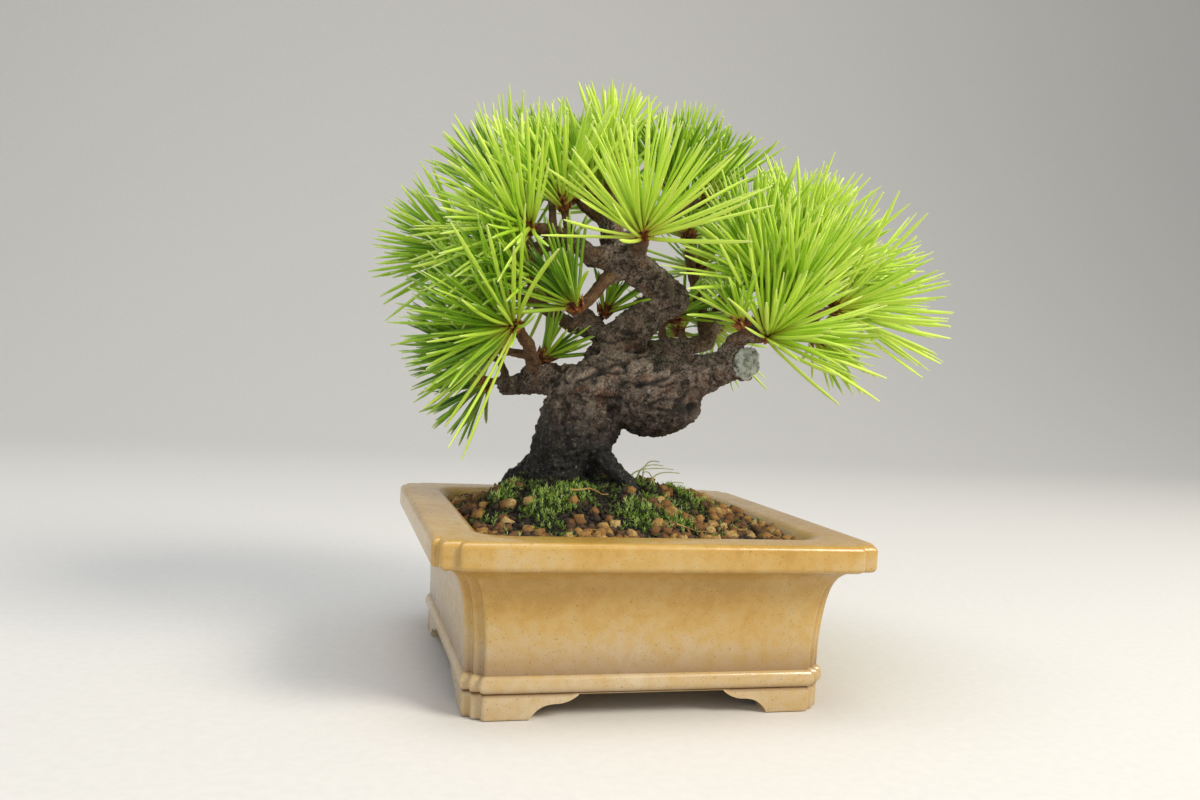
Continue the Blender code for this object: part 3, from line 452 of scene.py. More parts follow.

# %% [markdown]
# ## The bark
#
# Old pine bark is a stack of thin plates that crack apart as the trunk swells. The cracks are pressed in and
# painted near-black as painted shade, the plate tops weather to grey-brown, and where plates have fallen the
# fresh bark is orange-brown.
# The wood of the CAD is smooth, so a copy is remeshed into half-millimetre cells and each corner is pushed
# in or out: a broad unevenness, plates from Voronoi cells with the cracks between them, and a fine scaly
# grain. Thin twigs get less of it, so the local thickness is measured first with rays shot inwards.

# %% Remesh the wood and measure its thickness
bm = welded("trunk_and_branches")
wood_tree = BVHTree.FromBMesh(bm)
wood_corners = np.array([vert.co[:] for vert in bm.verts])
wood = new_object("pine_wood", mesh_from(bm, "pine_wood"))
BARK_CELL = 0.54 * MM        # half-millimetre cells; as fine as a piece of 200,000 triangles allows
mesh = remeshed(wood, BARK_CELL)
places = coordinates(mesh)
normals = np.empty(len(places) * 3)
mesh.vertex_normals.foreach_get("vector", normals)
normals = normals.reshape(-1, 3)
girth = np.empty(len(places))
for i, (place, normal) in enumerate(zip(places, normals)):
    hit = wood_tree.ray_cast(Vector(place - normal * 0.6 * MM), Vector(-normal))
    girth[i] = hit[3] if hit[3] is not None else 2 * MM
links = np.empty(len(mesh.edges) * 2, dtype=np.int64)
mesh.edges.foreach_get("vertices", links)
links = links.reshape(-1, 2)


def smoothed(values, rounds):
    """Average a value with its neighbours a few times."""
    for _ in range(rounds):
        total = values.copy()
        number = np.ones(len(values))
        np.add.at(total, links[:, 0], values[links[:, 1]])
        np.add.at(total, links[:, 1], values[links[:, 0]])
        np.add.at(number, links[:, 0], 1)
        np.add.at(number, links[:, 1], 1)
        values = total / number
    return values


girth = smoothed(girth, 12)
stout = np.clip((girth / MM - 3.0) / 12.0, 0.0, 1.0)
print(len(places), "corners; thickness", round(girth.min() / MM, 1), "to", round(girth.max() / MM, 1), "mm")

# %% Press plates, cracks and grain into the bark
base_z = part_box("soil_mound")[1][2]
crack_shade_mask = np.empty(len(places))
plate_tone = np.empty(len(places))
relief = np.empty(len(places))
for i, place in enumerate(places):
    p = Vector(place) / MM
    thick = stout[i]
    swollen = min(1.0, max(0.0, (p.z - base_z / MM - 14) / 8)) * thick
    warp = noise.noise_vector(p / 4.0) * 1.3
    distances, cells = noise.voronoi((p + warp) / (1.3 + 1.2 * thick))
    plate_edge = 1 - min(1.0, max(0.0, (distances[1] - distances[0]) / 0.35))
    plate_tone[i] = noise.cell(cells[0] * 3.7)
    grainwise = Vector((p.x * 0.06, p.y * 0.16, p.z * 0.30 - 0.035 * p.x)) + warp * 0.10
    fissure = max(0.0, 1 - abs(noise.noise(grainwise)) / 0.15) * swollen
    foot = min(1.0, max(0.0, (base_z / MM + 22 - p.z) / 10))
    thick = max(thick, 0.55 * foot)
    # The crack mask marks where the bark is painted near-black below, as painted shade in its cracks.
    crack_shade_mask[i] = max(fissure, 0.75 * plate_edge * (0.5 + 0.5 * noise.noise(p / 3.0)))
    broad = noise.fractal(p / 8.0, 1.0, 2.0, 3)
    lumps = noise.fractal(p / 2.6, 0.9, 2.0, 3)
    scales = noise.fractal(p / 0.9, 0.6, 2.0, 2)
    relief[i] = (0.25 + 0.95 * thick) * 0.6 * broad + (0.16 + 0.42 * thick) * lumps
    relief[i] += (0.14 + 0.38 * thick) * scales
    relief[i] += (0.15 + 0.45 * thick) * (0.3 * plate_tone[i] - 0.6 * plate_edge) - 1.1 * fissure
relief = 0.75 * relief + 0.25 * smoothed(relief, 1)
places += normals * (relief * MM)[:, None]
mesh.vertices.foreach_set("co", places.ravel())
mesh.update()
store(mesh, "crack_shade", smoothed(crack_shade_mask, 1))
store(mesh, "plate", plate_tone)
store(mesh, "stout", stout)
mesh.shade_smooth()
print("bark relief from", round(relief.min(), 2), "to", round(relief.max(), 2), "mm")

# %% Wet, plated pine bark
# Matt grey-brown plates with cracks painted near-black as painted shade, rust-brown patches where a plate
# has fallen, smooth yellow-brown young twigs, and a foot that stays wet and nearly black up to about two
# centimetres. Pale specks on the plates and on the wet foot are painted glints.
bark, tree, shader = new_finish("weathered pine bark, wet at the foot", IOR=1.45, Specular_IOR_Level=0.5)
where = add(tree, "ShaderNodeTexCoord").outputs["Object"]
split = add(tree, "ShaderNodeSeparateXYZ", {0: where})
crack_shade = add(tree, "ShaderNodeAttribute", attribute_name="crack_shade").outputs["Fac"]
plate = add(tree, "ShaderNodeAttribute", attribute_name="plate").outputs["Fac"]
stoutness = add(tree, "ShaderNodeAttribute", attribute_name="stout").outputs["Fac"]
grain = add(tree, "ShaderNodeTexNoise", {
    "Vector": where, "Scale": 1 / (0.75 * MM), "Detail": 5.0, "Roughness": 0.8})
patches = add(tree, "ShaderNodeTexNoise", {"Vector": where, "Scale": 1 / (7 * MM), "Detail": 3.0})
tone = 0.0
for pattern, amount in ((plate, 0.0756), (grain, 0.783), (patches, 0.2268)):
    tone = add(tree, "ShaderNodeMath", {0: pattern, 1: amount, 2: tone}, operation="MULTIPLY_ADD")
# The palest stop of this ramp is a painted glint: pale specks on the high grain that stand for highlights.
old = add(tree, "ShaderNodeValToRGB", {"Fac": tone}, stops=[
    (0.40, "#231D18"), (0.47, "#5A4D43"), (0.54, "#8A786A"), (0.61, "#A18E80"), (0.71, "#D0C4B8")])
rust = add(tree, "ShaderNodeTexNoise", {
    "Vector": where, "Scale": 1 / (5 * MM), "Detail": 3.0, "Distortion": 0.6})
rust = add(tree, "ShaderNodeMapRange", {"Value": rust, "From Min": 0.54, "From Max": 0.70, "To Max": 0.50})
old = add(tree, "ShaderNodeMix", {
    0: rust.outputs[0], 6: old.outputs[0], 7: linear("#8A5430")}, data_type="RGBA")
young = add(tree, "ShaderNodeValToRGB", {"Fac": tone}, stops=[
    (0.32, "#3A2618"), (0.50, "#6A4A30"), (0.64, "#8A6A45"), (0.80, "#B49A70")])
skin = add(tree, "ShaderNodeMapRange", {"Value": stoutness, "From Min": 0.02, "From Max": 0.30})
dry = add(tree, "ShaderNodeMix", {0: skin, 6: young.outputs[0], 7: old.outputs[2]}, data_type="RGBA")
damp_edge = add(tree, "ShaderNodeMath", {0: patches, 1: 14 * MM}, operation="MULTIPLY")
damp_height = add(tree, "ShaderNodeMath", {0: split.outputs["Z"], 1: damp_edge}, operation="SUBTRACT")
damp = add(tree, "ShaderNodeMapRange", {
    "Value": damp_height, "From Min": base_z + 2 * MM, "From Max": base_z + 24 * MM, "To Min": 1.0,
    "To Max": 0.0})
# The pale top of this ramp paints glints on the wet foot: specular highlights drawn as pale specks.
black = add(tree, "ShaderNodeValToRGB", {"Fac": grain}, stops=[
    (0.42, "#090807"), (0.53, "#161410"), (0.59, "#3E3932"), (0.67, "#A39B90")])
wet = add(tree, "ShaderNodeMix", {
    0: damp.outputs[0], 6: dry.outputs[2], 7: black.outputs[0]}, data_type="RGBA")
# Painted shade: the cracks are darkened towards near-black.
deep = add(tree, "ShaderNodeMapRange", {"Value": crack_shade, "From Min": 0.25, "From Max": 0.85, "To Max": 0.9})
coloured = add(tree, "ShaderNodeMix", {
    0: deep.outputs[0], 6: wet.outputs[2], 7: linear("#120D09")}, data_type="RGBA")
tree.links.new(coloured.outputs[2], shader.inputs["Base Color"])
sheen = add(tree, "ShaderNodeMapRange", {"Value": damp.outputs[0], "To Min": 0.72, "To Max": 0.40})
tree.links.new(sheen.outputs[0], shader.inputs["Roughness"])
scaly = add(tree, "ShaderNodeBump", {"Height": grain, "Strength": 1.0, "Distance": 0.6 * MM})
tree.links.new(scaly.outputs[0], shader.inputs["Normal"])
mesh.materials.clear()
mesh.materials.append(bark)
finished(wood, "bark", "trunk_and_branches")

# %% [markdown]
# ## The needles
#
# This pine carries its needles in pairs. A pair grows from one brown sheath, the needles are half round,
# about a millimetre wide and three to four centimetres long, and they taper only near the pale tip. A tuft
# is some dozens of pairs set in a spiral round the end of a shoot, the inner ones upright and the outer
# ones leaning out. That is a rule, so Geometry Nodes grow it: one pair is drawn once and placed on every
# point of a spiral.

# %% One needle and one pair
GOLDEN_ANGLE = 2.39996       # turn between two needles of a spiral, in radians
BRACT_COUNT = 32             # scales round a bud
tuft_tree, given, tuft_keys = new_tree(
    "pine tuft", Bud="Vector", Aim="Vector", Pairs="Int", Length="Float", Width="Float", Spread="Float",
    Stem="Float", Sweep="Float", Bend="Float", Tone="Float", Seed="Int", Needle="Material", Bract="Material")
t = tuft_tree
tip = add(t, "ShaderNodeCombineXYZ", {"Z": given["Length"]})
line = add(t, "GeometryNodeCurvePrimitiveLine", {"End": tip})
line = add(t, "GeometryNodeResampleCurve", {"Curve": line, "Count": 8})
along = add(t, "GeometryNodeSplineParameter").outputs["Factor"]
along_squared = add(t, "ShaderNodeMath", {0: along, 1: 2.0}, operation="POWER")
lean = add(t, "ShaderNodeMath", {0: along_squared, 1: given["Bend"]}, operation="MULTIPLY")
lean = add(t, "ShaderNodeCombineXYZ", {"X": lean})
line = add(t, "GeometryNodeSetPosition", {"Geometry": line, "Offset": lean})
sheath = add(t, "ShaderNodeMapRange", {"Value": along, "From Max": 0.16, "To Min": 0.62, "To Max": 1.0})
half_width = add(t, "ShaderNodeMath", {0: given["Width"], 1: 0.5}, operation="MULTIPLY")
taper = along                # full width nearly all the way, a blunt tip, and a narrower foot in the sheath
for step, amount in (
        ("POWER", 12.0), ("MULTIPLY", -0.62), ("ADD", 1.0), ("MULTIPLY", sheath), ("MULTIPLY", half_width)):
    taper = add(t, "ShaderNodeMath", {0: taper, 1: amount}, operation=step)
line = add(t, "GeometryNodeStoreNamedAttribute", {"Geometry": line, "Name": "along", "Value": along})
section = add(t, "GeometryNodeCurvePrimitiveCircle", {"Resolution": 6, "Radius": 1.0})
section = add(t, "GeometryNodeTransform", {"Geometry": section.outputs[0], "Scale": (0.62, 1.0, 1.0)})
needle = add(t, "GeometryNodeCurveToMesh", {
    "Curve": line, "Profile Curve": section, "Scale": taper, "Fill Caps": True})
pair = add(t, "GeometryNodeJoinGeometry")
for turn in (0.0, math.pi):
    tilted = add(t, "GeometryNodeTransform", {
        "Geometry": needle, "Rotation": (0.0, 0.075, turn),
        "Translation": (0.35 * MM * math.cos(turn), 0.0, 0.0)})
    t.links.new(tilted.outputs[0], pair.inputs[0])
print("one pair takes", len(t.nodes), "nodes")

# %% Set the pairs in a spiral round the bud
index = add(t, "GeometryNodeInputIndex")
share = add(t, "ShaderNodeMath", {0: index, 1: 0.5}, operation="ADD")
share = add(t, "ShaderNodeMath", {0: share, 1: given["Pairs"]}, operation="DIVIDE")
opening_angle = add(t, "ShaderNodeMath", {0: share, 1: 0.6}, operation="POWER")
opening_angle = add(t, "ShaderNodeMath", {0: opening_angle, 1: given["Spread"]}, operation="MULTIPLY")
wobble = add(t, "FunctionNodeRandomValue", {2: -0.20, 3: 0.20, "Seed": given["Seed"]})
opening_angle = add(t, "ShaderNodeMath", {0: opening_angle, 1: wobble.outputs[1]}, operation="ADD")
golden = add(t, "ShaderNodeMath", {0: index, 1: GOLDEN_ANGLE}, operation="MULTIPLY")
drift = add(t, "FunctionNodeRandomValue", {2: -0.45, 3: 0.45, "Seed": given["Seed"], "ID": index})
golden = add(t, "ShaderNodeMath", {0: golden, 1: drift.outputs[1]}, operation="ADD")
swing = add(t, "ShaderNodeCombineXYZ", {"Y": opening_angle, "Z": golden})
swing = add(t, "FunctionNodeEulerToRotation", {0: swing})
twist = add(t, "FunctionNodeRandomValue", {2: 0.0, 3: 6.283, "Seed": given["Seed"]})
twist = add(t, "ShaderNodeCombineXYZ", {"Z": twist.outputs[1]})
twist = add(t, "FunctionNodeEulerToRotation", {0: twist})
turned = add(t, "FunctionNodeRotateRotation", {0: swing, 1: twist}, rotation_space="LOCAL")
outward = add(t, "FunctionNodeRotateVector", {0: (0.0, 0.0, 1.0), 1: swing})
rooted = add(t, "ShaderNodeVectorMath", {0: outward, "Scale": 0.8 * MM}, operation="SCALE")
down = add(t, "ShaderNodeMath", {0: share, 1: given["Stem"]}, operation="MULTIPLY")
down = add(t, "ShaderNodeCombineXYZ", {"Z": down})
rooted = add(t, "ShaderNodeVectorMath", {0: rooted, 1: down}, operation="SUBTRACT")
spots = add(t, "GeometryNodePoints", {"Count": given["Pairs"], "Position": rooted})
size = add(t, "FunctionNodeRandomValue", {2: 0.80, 3: 1.07, "Seed": given["Seed"]})
inner = add(t, "ShaderNodeMapRange", {"Value": share, "From Max": 0.8, "To Min": 0.76, "To Max": 1.0})
size = add(t, "ShaderNodeMath", {0: size.outputs[1], 1: inner}, operation="MULTIPLY")
pairs = add(t, "GeometryNodeInstanceOnPoints", {
    "Points": spots, "Instance": pair, "Rotation": turned, "Scale": size})
shade = add(t, "FunctionNodeRandomValue", {2: 0.0, 3: 1.0, "Seed": given["Seed"]})
pairs = add(t, "GeometryNodeStoreNamedAttribute", {
    "Geometry": pairs, "Name": "shade", "Value": shade.outputs[1]},
            domain="INSTANCE")
own_bend = add(t, "FunctionNodeRandomValue", {
    0: (-1.0, -1.0, -1.0), 1: (1.0, 1.0, 1.0), "Seed": given["Seed"]}, data_type="FLOAT_VECTOR")
pairs = add(t, "GeometryNodeStoreNamedAttribute", {"Geometry": pairs, "Name": "own_bend", "Value": own_bend},
            domain="INSTANCE", data_type="FLOAT_VECTOR")
pairs = add(t, "GeometryNodeRealizeInstances", {0: pairs})
pairs = add(t, "GeometryNodeSetMaterial", {"Geometry": pairs, "Material": given["Needle"]})
print("with the spiral it is", len(t.nodes), "nodes")

# %% Bud scales round the root of the needles
scale_cone = add(t, "GeometryNodeMeshCone", {"Vertices": 5, "Radius Bottom": 0.75 * MM, "Depth": 3.8 * MM})
below = add(t, "ShaderNodeMath", {0: given["Stem"], 1: 1.5 * MM}, operation="ADD")
down = index
for step, amount in (("DIVIDE", BRACT_COUNT), ("MULTIPLY", below), ("SUBTRACT", 0.6 * MM)):
    down = add(t, "ShaderNodeMath", {0: down, 1: amount}, operation=step)
down = add(t, "ShaderNodeCombineXYZ", {"Z": down})
lifted = add(t, "ShaderNodeMath", {0: wobble.outputs[1], 1: 0.5}, operation="ADD")
flap = add(t, "ShaderNodeCombineXYZ", {"Y": lifted, "Z": golden})
flap = add(t, "FunctionNodeEulerToRotation", {0: flap})
outward = add(t, "FunctionNodeRotateVector", {0: (0.0, 0.0, 1.0), 1: flap})
rooted = add(t, "ShaderNodeVectorMath", {0: outward, 1: (2.4 * MM, 2.4 * MM, 0.0)}, operation="MULTIPLY")
rooted = add(t, "ShaderNodeVectorMath", {0: rooted, 1: down}, operation="SUBTRACT")
spots = add(t, "GeometryNodePoints", {"Count": BRACT_COUNT, "Position": rooted})
bracts = add(t, "GeometryNodeInstanceOnPoints", {
    "Points": spots, "Instance": scale_cone.outputs[0], "Rotation": flap})
core = add(t, "GeometryNodeMeshIcoSphere", {"Radius": 1.0, "Subdivisions": 2})
core_place = add(t, "ShaderNodeMath", {0: given["Stem"], 1: -0.5}, operation="MULTIPLY")
core_place = add(t, "ShaderNodeCombineXYZ", {"Z": core_place})
core_length = add(t, "ShaderNodeMath", {0: given["Stem"], 1: 0.75}, operation="MULTIPLY")
core_size = add(t, "ShaderNodeCombineXYZ", {"X": 1.3 * MM, "Y": 1.3 * MM, "Z": core_length})
core = add(t, "GeometryNodeTransform", {
    "Geometry": core.outputs[0], "Translation": core_place, "Scale": core_size})
bud = add(t, "GeometryNodeJoinGeometry", {0: bracts})
t.links.new(core.outputs[0], bud.inputs[0])
bud = add(t, "GeometryNodeRealizeInstances", {0: bud})
bud = add(t, "GeometryNodeSetMaterial", {"Geometry": bud, "Material": given["Bract"]})
print("with the bud it is", len(t.nodes), "nodes")

# %% Join, aim and bend the tuft
whole = add(t, "GeometryNodeJoinGeometry", {0: pairs})
t.links.new(bud.outputs[0], whole.inputs[0])
aimed = add(t, "FunctionNodeAlignRotationToVector", {"Vector": given["Aim"]}, axis="Z")
whole = add(t, "GeometryNodeTransform", {
    "Geometry": whole, "Translation": given["Bud"], "Rotation": aimed})
reach = add(t, "GeometryNodeInputNamedAttribute", {"Name": "along"})
reach = add(t, "ShaderNodeMath", {0: reach, 1: 1.8}, operation="POWER")
rise = add(t, "ShaderNodeMath", {0: reach, 1: given["Sweep"]}, operation="MULTIPLY")
rise = add(t, "ShaderNodeCombineXYZ", {"Z": rise})
own_bend = add(t, "GeometryNodeInputNamedAttribute", {"Name": "own_bend"}, data_type="FLOAT_VECTOR")
strength = add(t, "ShaderNodeMath", {0: given["Length"], 1: 0.10}, operation="MULTIPLY")
strength = add(t, "ShaderNodeMath", {0: reach, 1: strength}, operation="MULTIPLY")
bent = add(t, "ShaderNodeVectorMath", {0: own_bend, "Scale": strength}, operation="SCALE")
rise = add(t, "ShaderNodeVectorMath", {0: rise, 1: bent}, operation="ADD")
whole = add(t, "GeometryNodeSetPosition", {"Geometry": whole, "Offset": rise})
# The tuft's tone is painted light and shade: brighter for tufts in the light, deeper for those in the shade.
whole = add(t, "GeometryNodeStoreNamedAttribute", {"Geometry": whole, "Name": "tone", "Value": given["Tone"]})
whole = add(t, "GeometryNodeSetShadeSmooth", {0: whole})
add(t, "NodeGroupOutput", {0: whole})
print("tuft tree has", len(t.nodes), "nodes")

# %% [markdown]
# ## The green of the needles
#
# New needles are a yellow-green. The light on the crown is painted into that green: each tuft has a tone,
# brighter for tufts in the light and deeper for those in the shade inside the crown. Along its length a
# needle runs from a brown sheath over a yellowish foot to full green, and its tip is pale. Three numbers
# stored by the tree carry this: how far along the needle, a shade for each pair and the tone of painted
# light for the tuft.

# %% Needle and bract finishes
needle_finish, tree, shader = new_finish("fresh pine needles, waxy", Roughness=0.42, IOR=1.45)
along = add(tree, "ShaderNodeAttribute", attribute_name="along").outputs["Fac"]
shade = add(tree, "ShaderNodeAttribute", attribute_name="shade").outputs["Fac"]
tone = add(tree, "ShaderNodeAttribute", attribute_name="tone").outputs["Fac"]
where = add(tree, "ShaderNodeTexCoord").outputs["Object"]
streak = add(tree, "ShaderNodeTexNoise", {"Vector": where, "Scale": 1 / (6 * MM), "Detail": 2.0})
# The tuft's tone, painted light and shade, sets where each needle's green starts.
light = tone
for pattern, amount in ((shade, 0.60), (streak, 0.20)):
    light = add(tree, "ShaderNodeMath", {0: pattern, 1: amount, 2: light}, operation="MULTIPLY_ADD")
green = add(tree, "ShaderNodeValToRGB", {"Fac": light}, stops=[
    (0.12, "#35580F"), (0.40, "#6A981F"), (0.70, "#A6CE30"), (1.0, "#D3EC5E")])
tipped = add(tree, "ShaderNodeMapRange", {"Value": along, "From Min": 0.88, "From Max": 1.0, "To Max": 0.65})
green = add(tree, "ShaderNodeMix", {
    0: tipped.outputs[0], 6: green.outputs[0], 7: linear("#DDE69A")}, data_type="RGBA")
foot = add(tree, "ShaderNodeMapRange", {
    "Value": along, "From Min": 0.05, "From Max": 0.30, "To Min": 0.75, "To Max": 0.0})
green = add(tree, "ShaderNodeMix", {
    0: foot.outputs[0], 6: green.outputs[2], 7: linear("#B9B23A")}, data_type="RGBA")
brown = add(tree, "ShaderNodeMath", {0: along, 1: 0.055}, operation="LESS_THAN")
green = add(tree, "ShaderNodeMix", {0: brown, 6: green.outputs[2], 7: linear("#8A5A28")}, data_type="RGBA")
tree.links.new(green.outputs[2], shader.inputs["Base Color"])

# Bud scales are dry and papery: matt, dark brown at the root, orange-brown and straw at their frayed edges.
bract_finish = mottled_finish("papery pine bud scales", 1.6, [
    (0.32, "#3A2214"), (0.47, "#7A3E1C"), (0.58, "#A4662C"), (0.72, "#CBA25A")],
    {"Detail": 4.0}, bump=(0.6, 0.2), Roughness=0.7)[0]
print("finishes:", needle_finish.name, "and", bract_finish.name)

# %% [markdown]
# ## One tuft on each CAD bud
#
# A CAD tuft is a small round bud with a few thick needles. The bud is found as the place where a dozen
# corners crowd together, and the twig that carries it ends in a ring just behind it, which gives the way it
# points. How wide a tuft opens is a habit of that shoot, and its brightness is painted light and shade;
# both are listed by name.

# %% Find the buds and grow the tufts
# name: (opening angle in degrees, pairs, tone of painted light and shade, rise of the tips in mm)
SHOOT_HABITS_AND_PAINTED_LIGHT = {
    "apex": (23, 34, 0.64, 0), "crown_front": (66, 42, 0.60, 4), "top_mid": (40, 34, 0.44, 1),
    "top_left_mid": (46, 34, 0.42, 1), "top_left_back": (46, 32, 0.22, 1), "top_left_up": (44, 30, 0.30, 0),
    "left_top_front": (64, 52, 0.44, 1), "left_edge": (50, 38, 0.26, 1), "left_inner": (48, 30, 0.08, 1),
    "v_fan": (42, 24, 0.10, 1), "v_end": (46, 30, 0.20, 1), "left_low_front": (58, 40, 0.24, 2),
    "left_low_mid": (50, 34, 0.02, 1), "left_low_back": (56, 22, -0.12, 1),
    "left_low_far": (52, 28, -0.10, 1),
    "inner_left": (44, 12, 0.12, 0), "inner_mid": (42, 14, 0.05, 0), "inner_right": (36, 12, 0.20, 0),
    "right_front": (70, 60, 0.58, 1), "right_mid": (44, 38, 0.48, 0), "right_top": (32, 40, 0.62, 0),
    "right_top_left": (40, 34, 0.36, 0), "right_small": (38, 20, 0.34, 0), "right_cross": (34, 26, 0.40, 0),
    "right_far": (46, 46, 0.54, 0), "right_up": (44, 42, 0.58, 0), "right_low": (54, 26, 0.46, 0),
}
USUAL = (52, 38, 0.20, 1)
rng = random.Random(7)
blank = bpy.data.meshes.new("blank")
needle_total = 0
for name in sorted(node for node in nodes if node.startswith("tuft_")):
    bm = welded(name)
    corners = np.array([vert.co[:] for vert in bm.verts])
    bm.free()
    spans = np.linalg.norm(corners[:, None] - corners[None], axis=2)
    crowded = (spans < 4.3 * MM).sum(axis=1) >= 8
    bud = corners[crowded].mean(axis=0)
    ring = wood_corners[np.linalg.norm(wood_corners - bud, axis=1) < 2.95 * MM]
    aim = bud - ring.mean(axis=0)
    aim /= np.linalg.norm(aim)
    length = np.linalg.norm(corners - bud, axis=1).max()
    opening_degrees, pair_count, painted_light, rise_mm = SHOOT_HABITS_AND_PAINTED_LIGHT.get(name[5:], USUAL)
    tuft = grown(
        name.replace("tuft_", "needles_"), blank.copy(), tuft_tree, tuft_keys, Bud=tuple(bud), Aim=tuple(aim),
        Pairs=pair_count, Length=float(length) * 1.0, Width=1.25 * MM, Spread=math.radians(opening_degrees),
        Stem=min(3.6 * MM, 0.11 * float(length)), Sweep=rise_mm * MM, Bend=rng.uniform(1.0, 3.0) * MM,
        Tone=painted_light, Seed=rng.randrange(10000), Needle=needle_finish, Bract=bract_finish)
    needle_total += 2 * pair_count
    finished(tuft, "needles", name)
print(needle_total, "needles")

# %% [markdown]
# ## The ground
#
# The pot is filled with fired-clay grains, and around the trunk they have grown over with black algae and
# moss into a low mound. The ground is a fine grid laid over the CAD soil, with the cushions of moss pushed
# up in it. Each corner also gets three numbers: how much grain, dark moss and bright moss grows there.

# %% Lay the ground over the CAD soil
bm = welded("soil_mound")
soil_tree = BVHTree.FromBMesh(bm)
soil_low, soil_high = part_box("soil_mound")
bm.free()
FIELD = INNER_HALF - 0.35 * MM
cushions = []
for name in sorted(node for node in nodes if node.startswith("moss_")):
    low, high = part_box(name)
    middle = ((low[0] + high[0]) / 2, (low[1] + high[1]) / 2)
    cushions.append((*middle, (high[0] - low[0]) / 2, (high[1] - low[1]) / 2))


def soil_level(x, y):
    """Return the height of the CAD soil; under the trunk, where it has a socket, the mound's top."""
    hit = soil_tree.ray_cast(Vector((x, y, 0.2)), Vector((0, 0, -1)))[0]
    if hit is None:
        return RIM_TOP - 3 * MM
    return hit.z if hit.z > RIM_TOP - 5 * MM else soil_high[2]


def root_cover(x, y):
    """Return the extra soil heaped over the foot of the front root, from 0 to 1."""
    return math.exp(-((x - POT.x - 3 * MM) ** 2 + (y - POT.y + 17 * MM) ** 2) / (10 * MM) ** 2)


def cushion_rise(x, y):
    """Return how much moss cushion lies there, from 0 to 1."""
    best = 0.0
    for cx, cy, a, b in cushions:
        d = math.hypot((x - cx) / a, (y - cy) / b)
        best = max(best, 1 - d * d)
    return best


print(len(cushions), "cushions; soil up to", round(soil_high[2] / MM, 1), "mm")

# %% Shape the ground
GROUND_CELLS = 110
FIELD_ROUND = 6 * MM         # rounding of the field's corners, as in the pot
bm = bmesh.new()
bmesh.ops.create_grid(bm, x_segments=GROUND_CELLS, y_segments=GROUND_CELLS, size=FIELD)
for vert in bm.verts:
    corner = FIELD - FIELD_ROUND
    ax, ay = abs(vert.co.x), abs(vert.co.y)
    if ax > corner and ay > corner:
        outside = Vector((ax - corner, ay - corner))
        if outside.length > FIELD_ROUND:
            outside.length = FIELD_ROUND
            vert.co.x = math.copysign(corner + outside.x, vert.co.x)
            vert.co.y = math.copysign(corner + outside.y, vert.co.y)
    x, y = vert.co.x + POT.x, vert.co.y + POT.y
    lump = noise.fractal(Vector((x, y, 0)) / (5 * MM), 1.0, 2.0, 3) * 0.9 * MM
    raised = 2.0 * MM * max(0.0, cushion_rise(x, y)) ** 0.6 + 3.2 * MM * root_cover(x, y)
    vert.co = (x, y, soil_level(x, y) + lump + raised - 0.5 * MM)
top = [vert.co.copy() for vert in bm.verts]
raised = bmesh.ops.extrude_face_region(bm, geom=list(bm.faces))
for vert in [item for item in raised["geom"] if isinstance(item, bmesh.types.BMVert)]:
    vert.co.z = soil_low[2] + 0.3 * MM
bmesh.ops.recalc_face_normals(bm, faces=bm.faces)
# Extrude adds the side faces in no fixed order, and the scattering below depends on it, so they are sorted.
bm.faces.index_update()
SORT_BY = Vector((1.0, 1.7, 0.3)) / MM
bm.faces.sort(key=lambda face: face.index if abs(face.normal.z) > 0.001
              else 1e6 + face.calc_center_median().dot(SORT_BY))
ground = new_object("soil_ground", mesh_from(bm, "soil_ground"))
ground_tree = BVHTree.FromPolygons(
    [v.co for v in ground.data.vertices], [p.vertices for p in ground.data.polygons])


def ground_level(x, y):
    """Return the height of the finished ground."""
    hit = ground_tree.ray_cast(Vector((x, y, 0.2)), Vector((0, 0, -1)))[0]
    return hit.z if hit else RIM_TOP - 3 * MM


heights = [p.z / MM for p in top]
print("ground from", round(min(heights), 1), "to", round(max(heights), 1), "mm high")

# %% Shares of grain, algae and moss
grain_share = []
dark_share = []
bright_share = []
for vert in ground.data.vertices:
    p = vert.co
    up = 1.0 if p.z > soil_low[2] + 2 * MM else 0.0
    away = math.hypot((p.x - POT.x + 8 * MM) / (34 * MM), (p.y - POT.y + 2 * MM) / (30 * MM))
    ragged = noise.fractal(Vector((p.x, p.y, 3.0 * MM)) / (8 * MM), 1.0, 2.0, 3)
    mossy = cushion_rise(p.x, p.y) + 0.25 * ragged
    dark = min(1.0, max(0.0, (1.32 - away + 0.8 * ragged) * 1.8))
    bright_share.append(up * min(1.0, max(0.0, mossy * 2.2)))
    dark_share.append(up * max(dark * 0.95, 0.30))
    grain_share.append(up * min(1.0, max(0.0, 1.0 - 0.97 * dark)))
store(ground.data, "grain", grain_share)
store(ground.data, "dark", dark_share)
store(ground.data, "bright", bright_share)
for share in (grain_share, dark_share, bright_share):
    print("average share", round(sum(share) / len(share), 2))

# %% Damp peat and clay dust between the grains
# What lies between the grains is fine, damp and nearly black, with crumbs of about a millimetre and no gloss.
peat = mottled_finish("damp clay dust and black algae", 1.4, [
    (0.35, "#0F0B08"), (0.55, "#2A1D13"), (0.72, "#4A3524")],
    {"Detail": 6.0, "Roughness": 0.7}, bump=(1.0, 0.8), Roughness=0.85)[0]
ground.data.materials.append(peat)
finished(ground, "clay_grains", "soil_mound")

# %% [markdown]
# ## Grains, moss and algae
#
# Everything on the ground repeats: fired-clay grains of 2 to 4.5 mm, short black algae, and star-shaped
# moss shoots. One tree scatters any of them over the ground. It reads the share stored on the ground as
# density, sinks each piece a little, turns and sizes it at random and stores a shade for its colour.

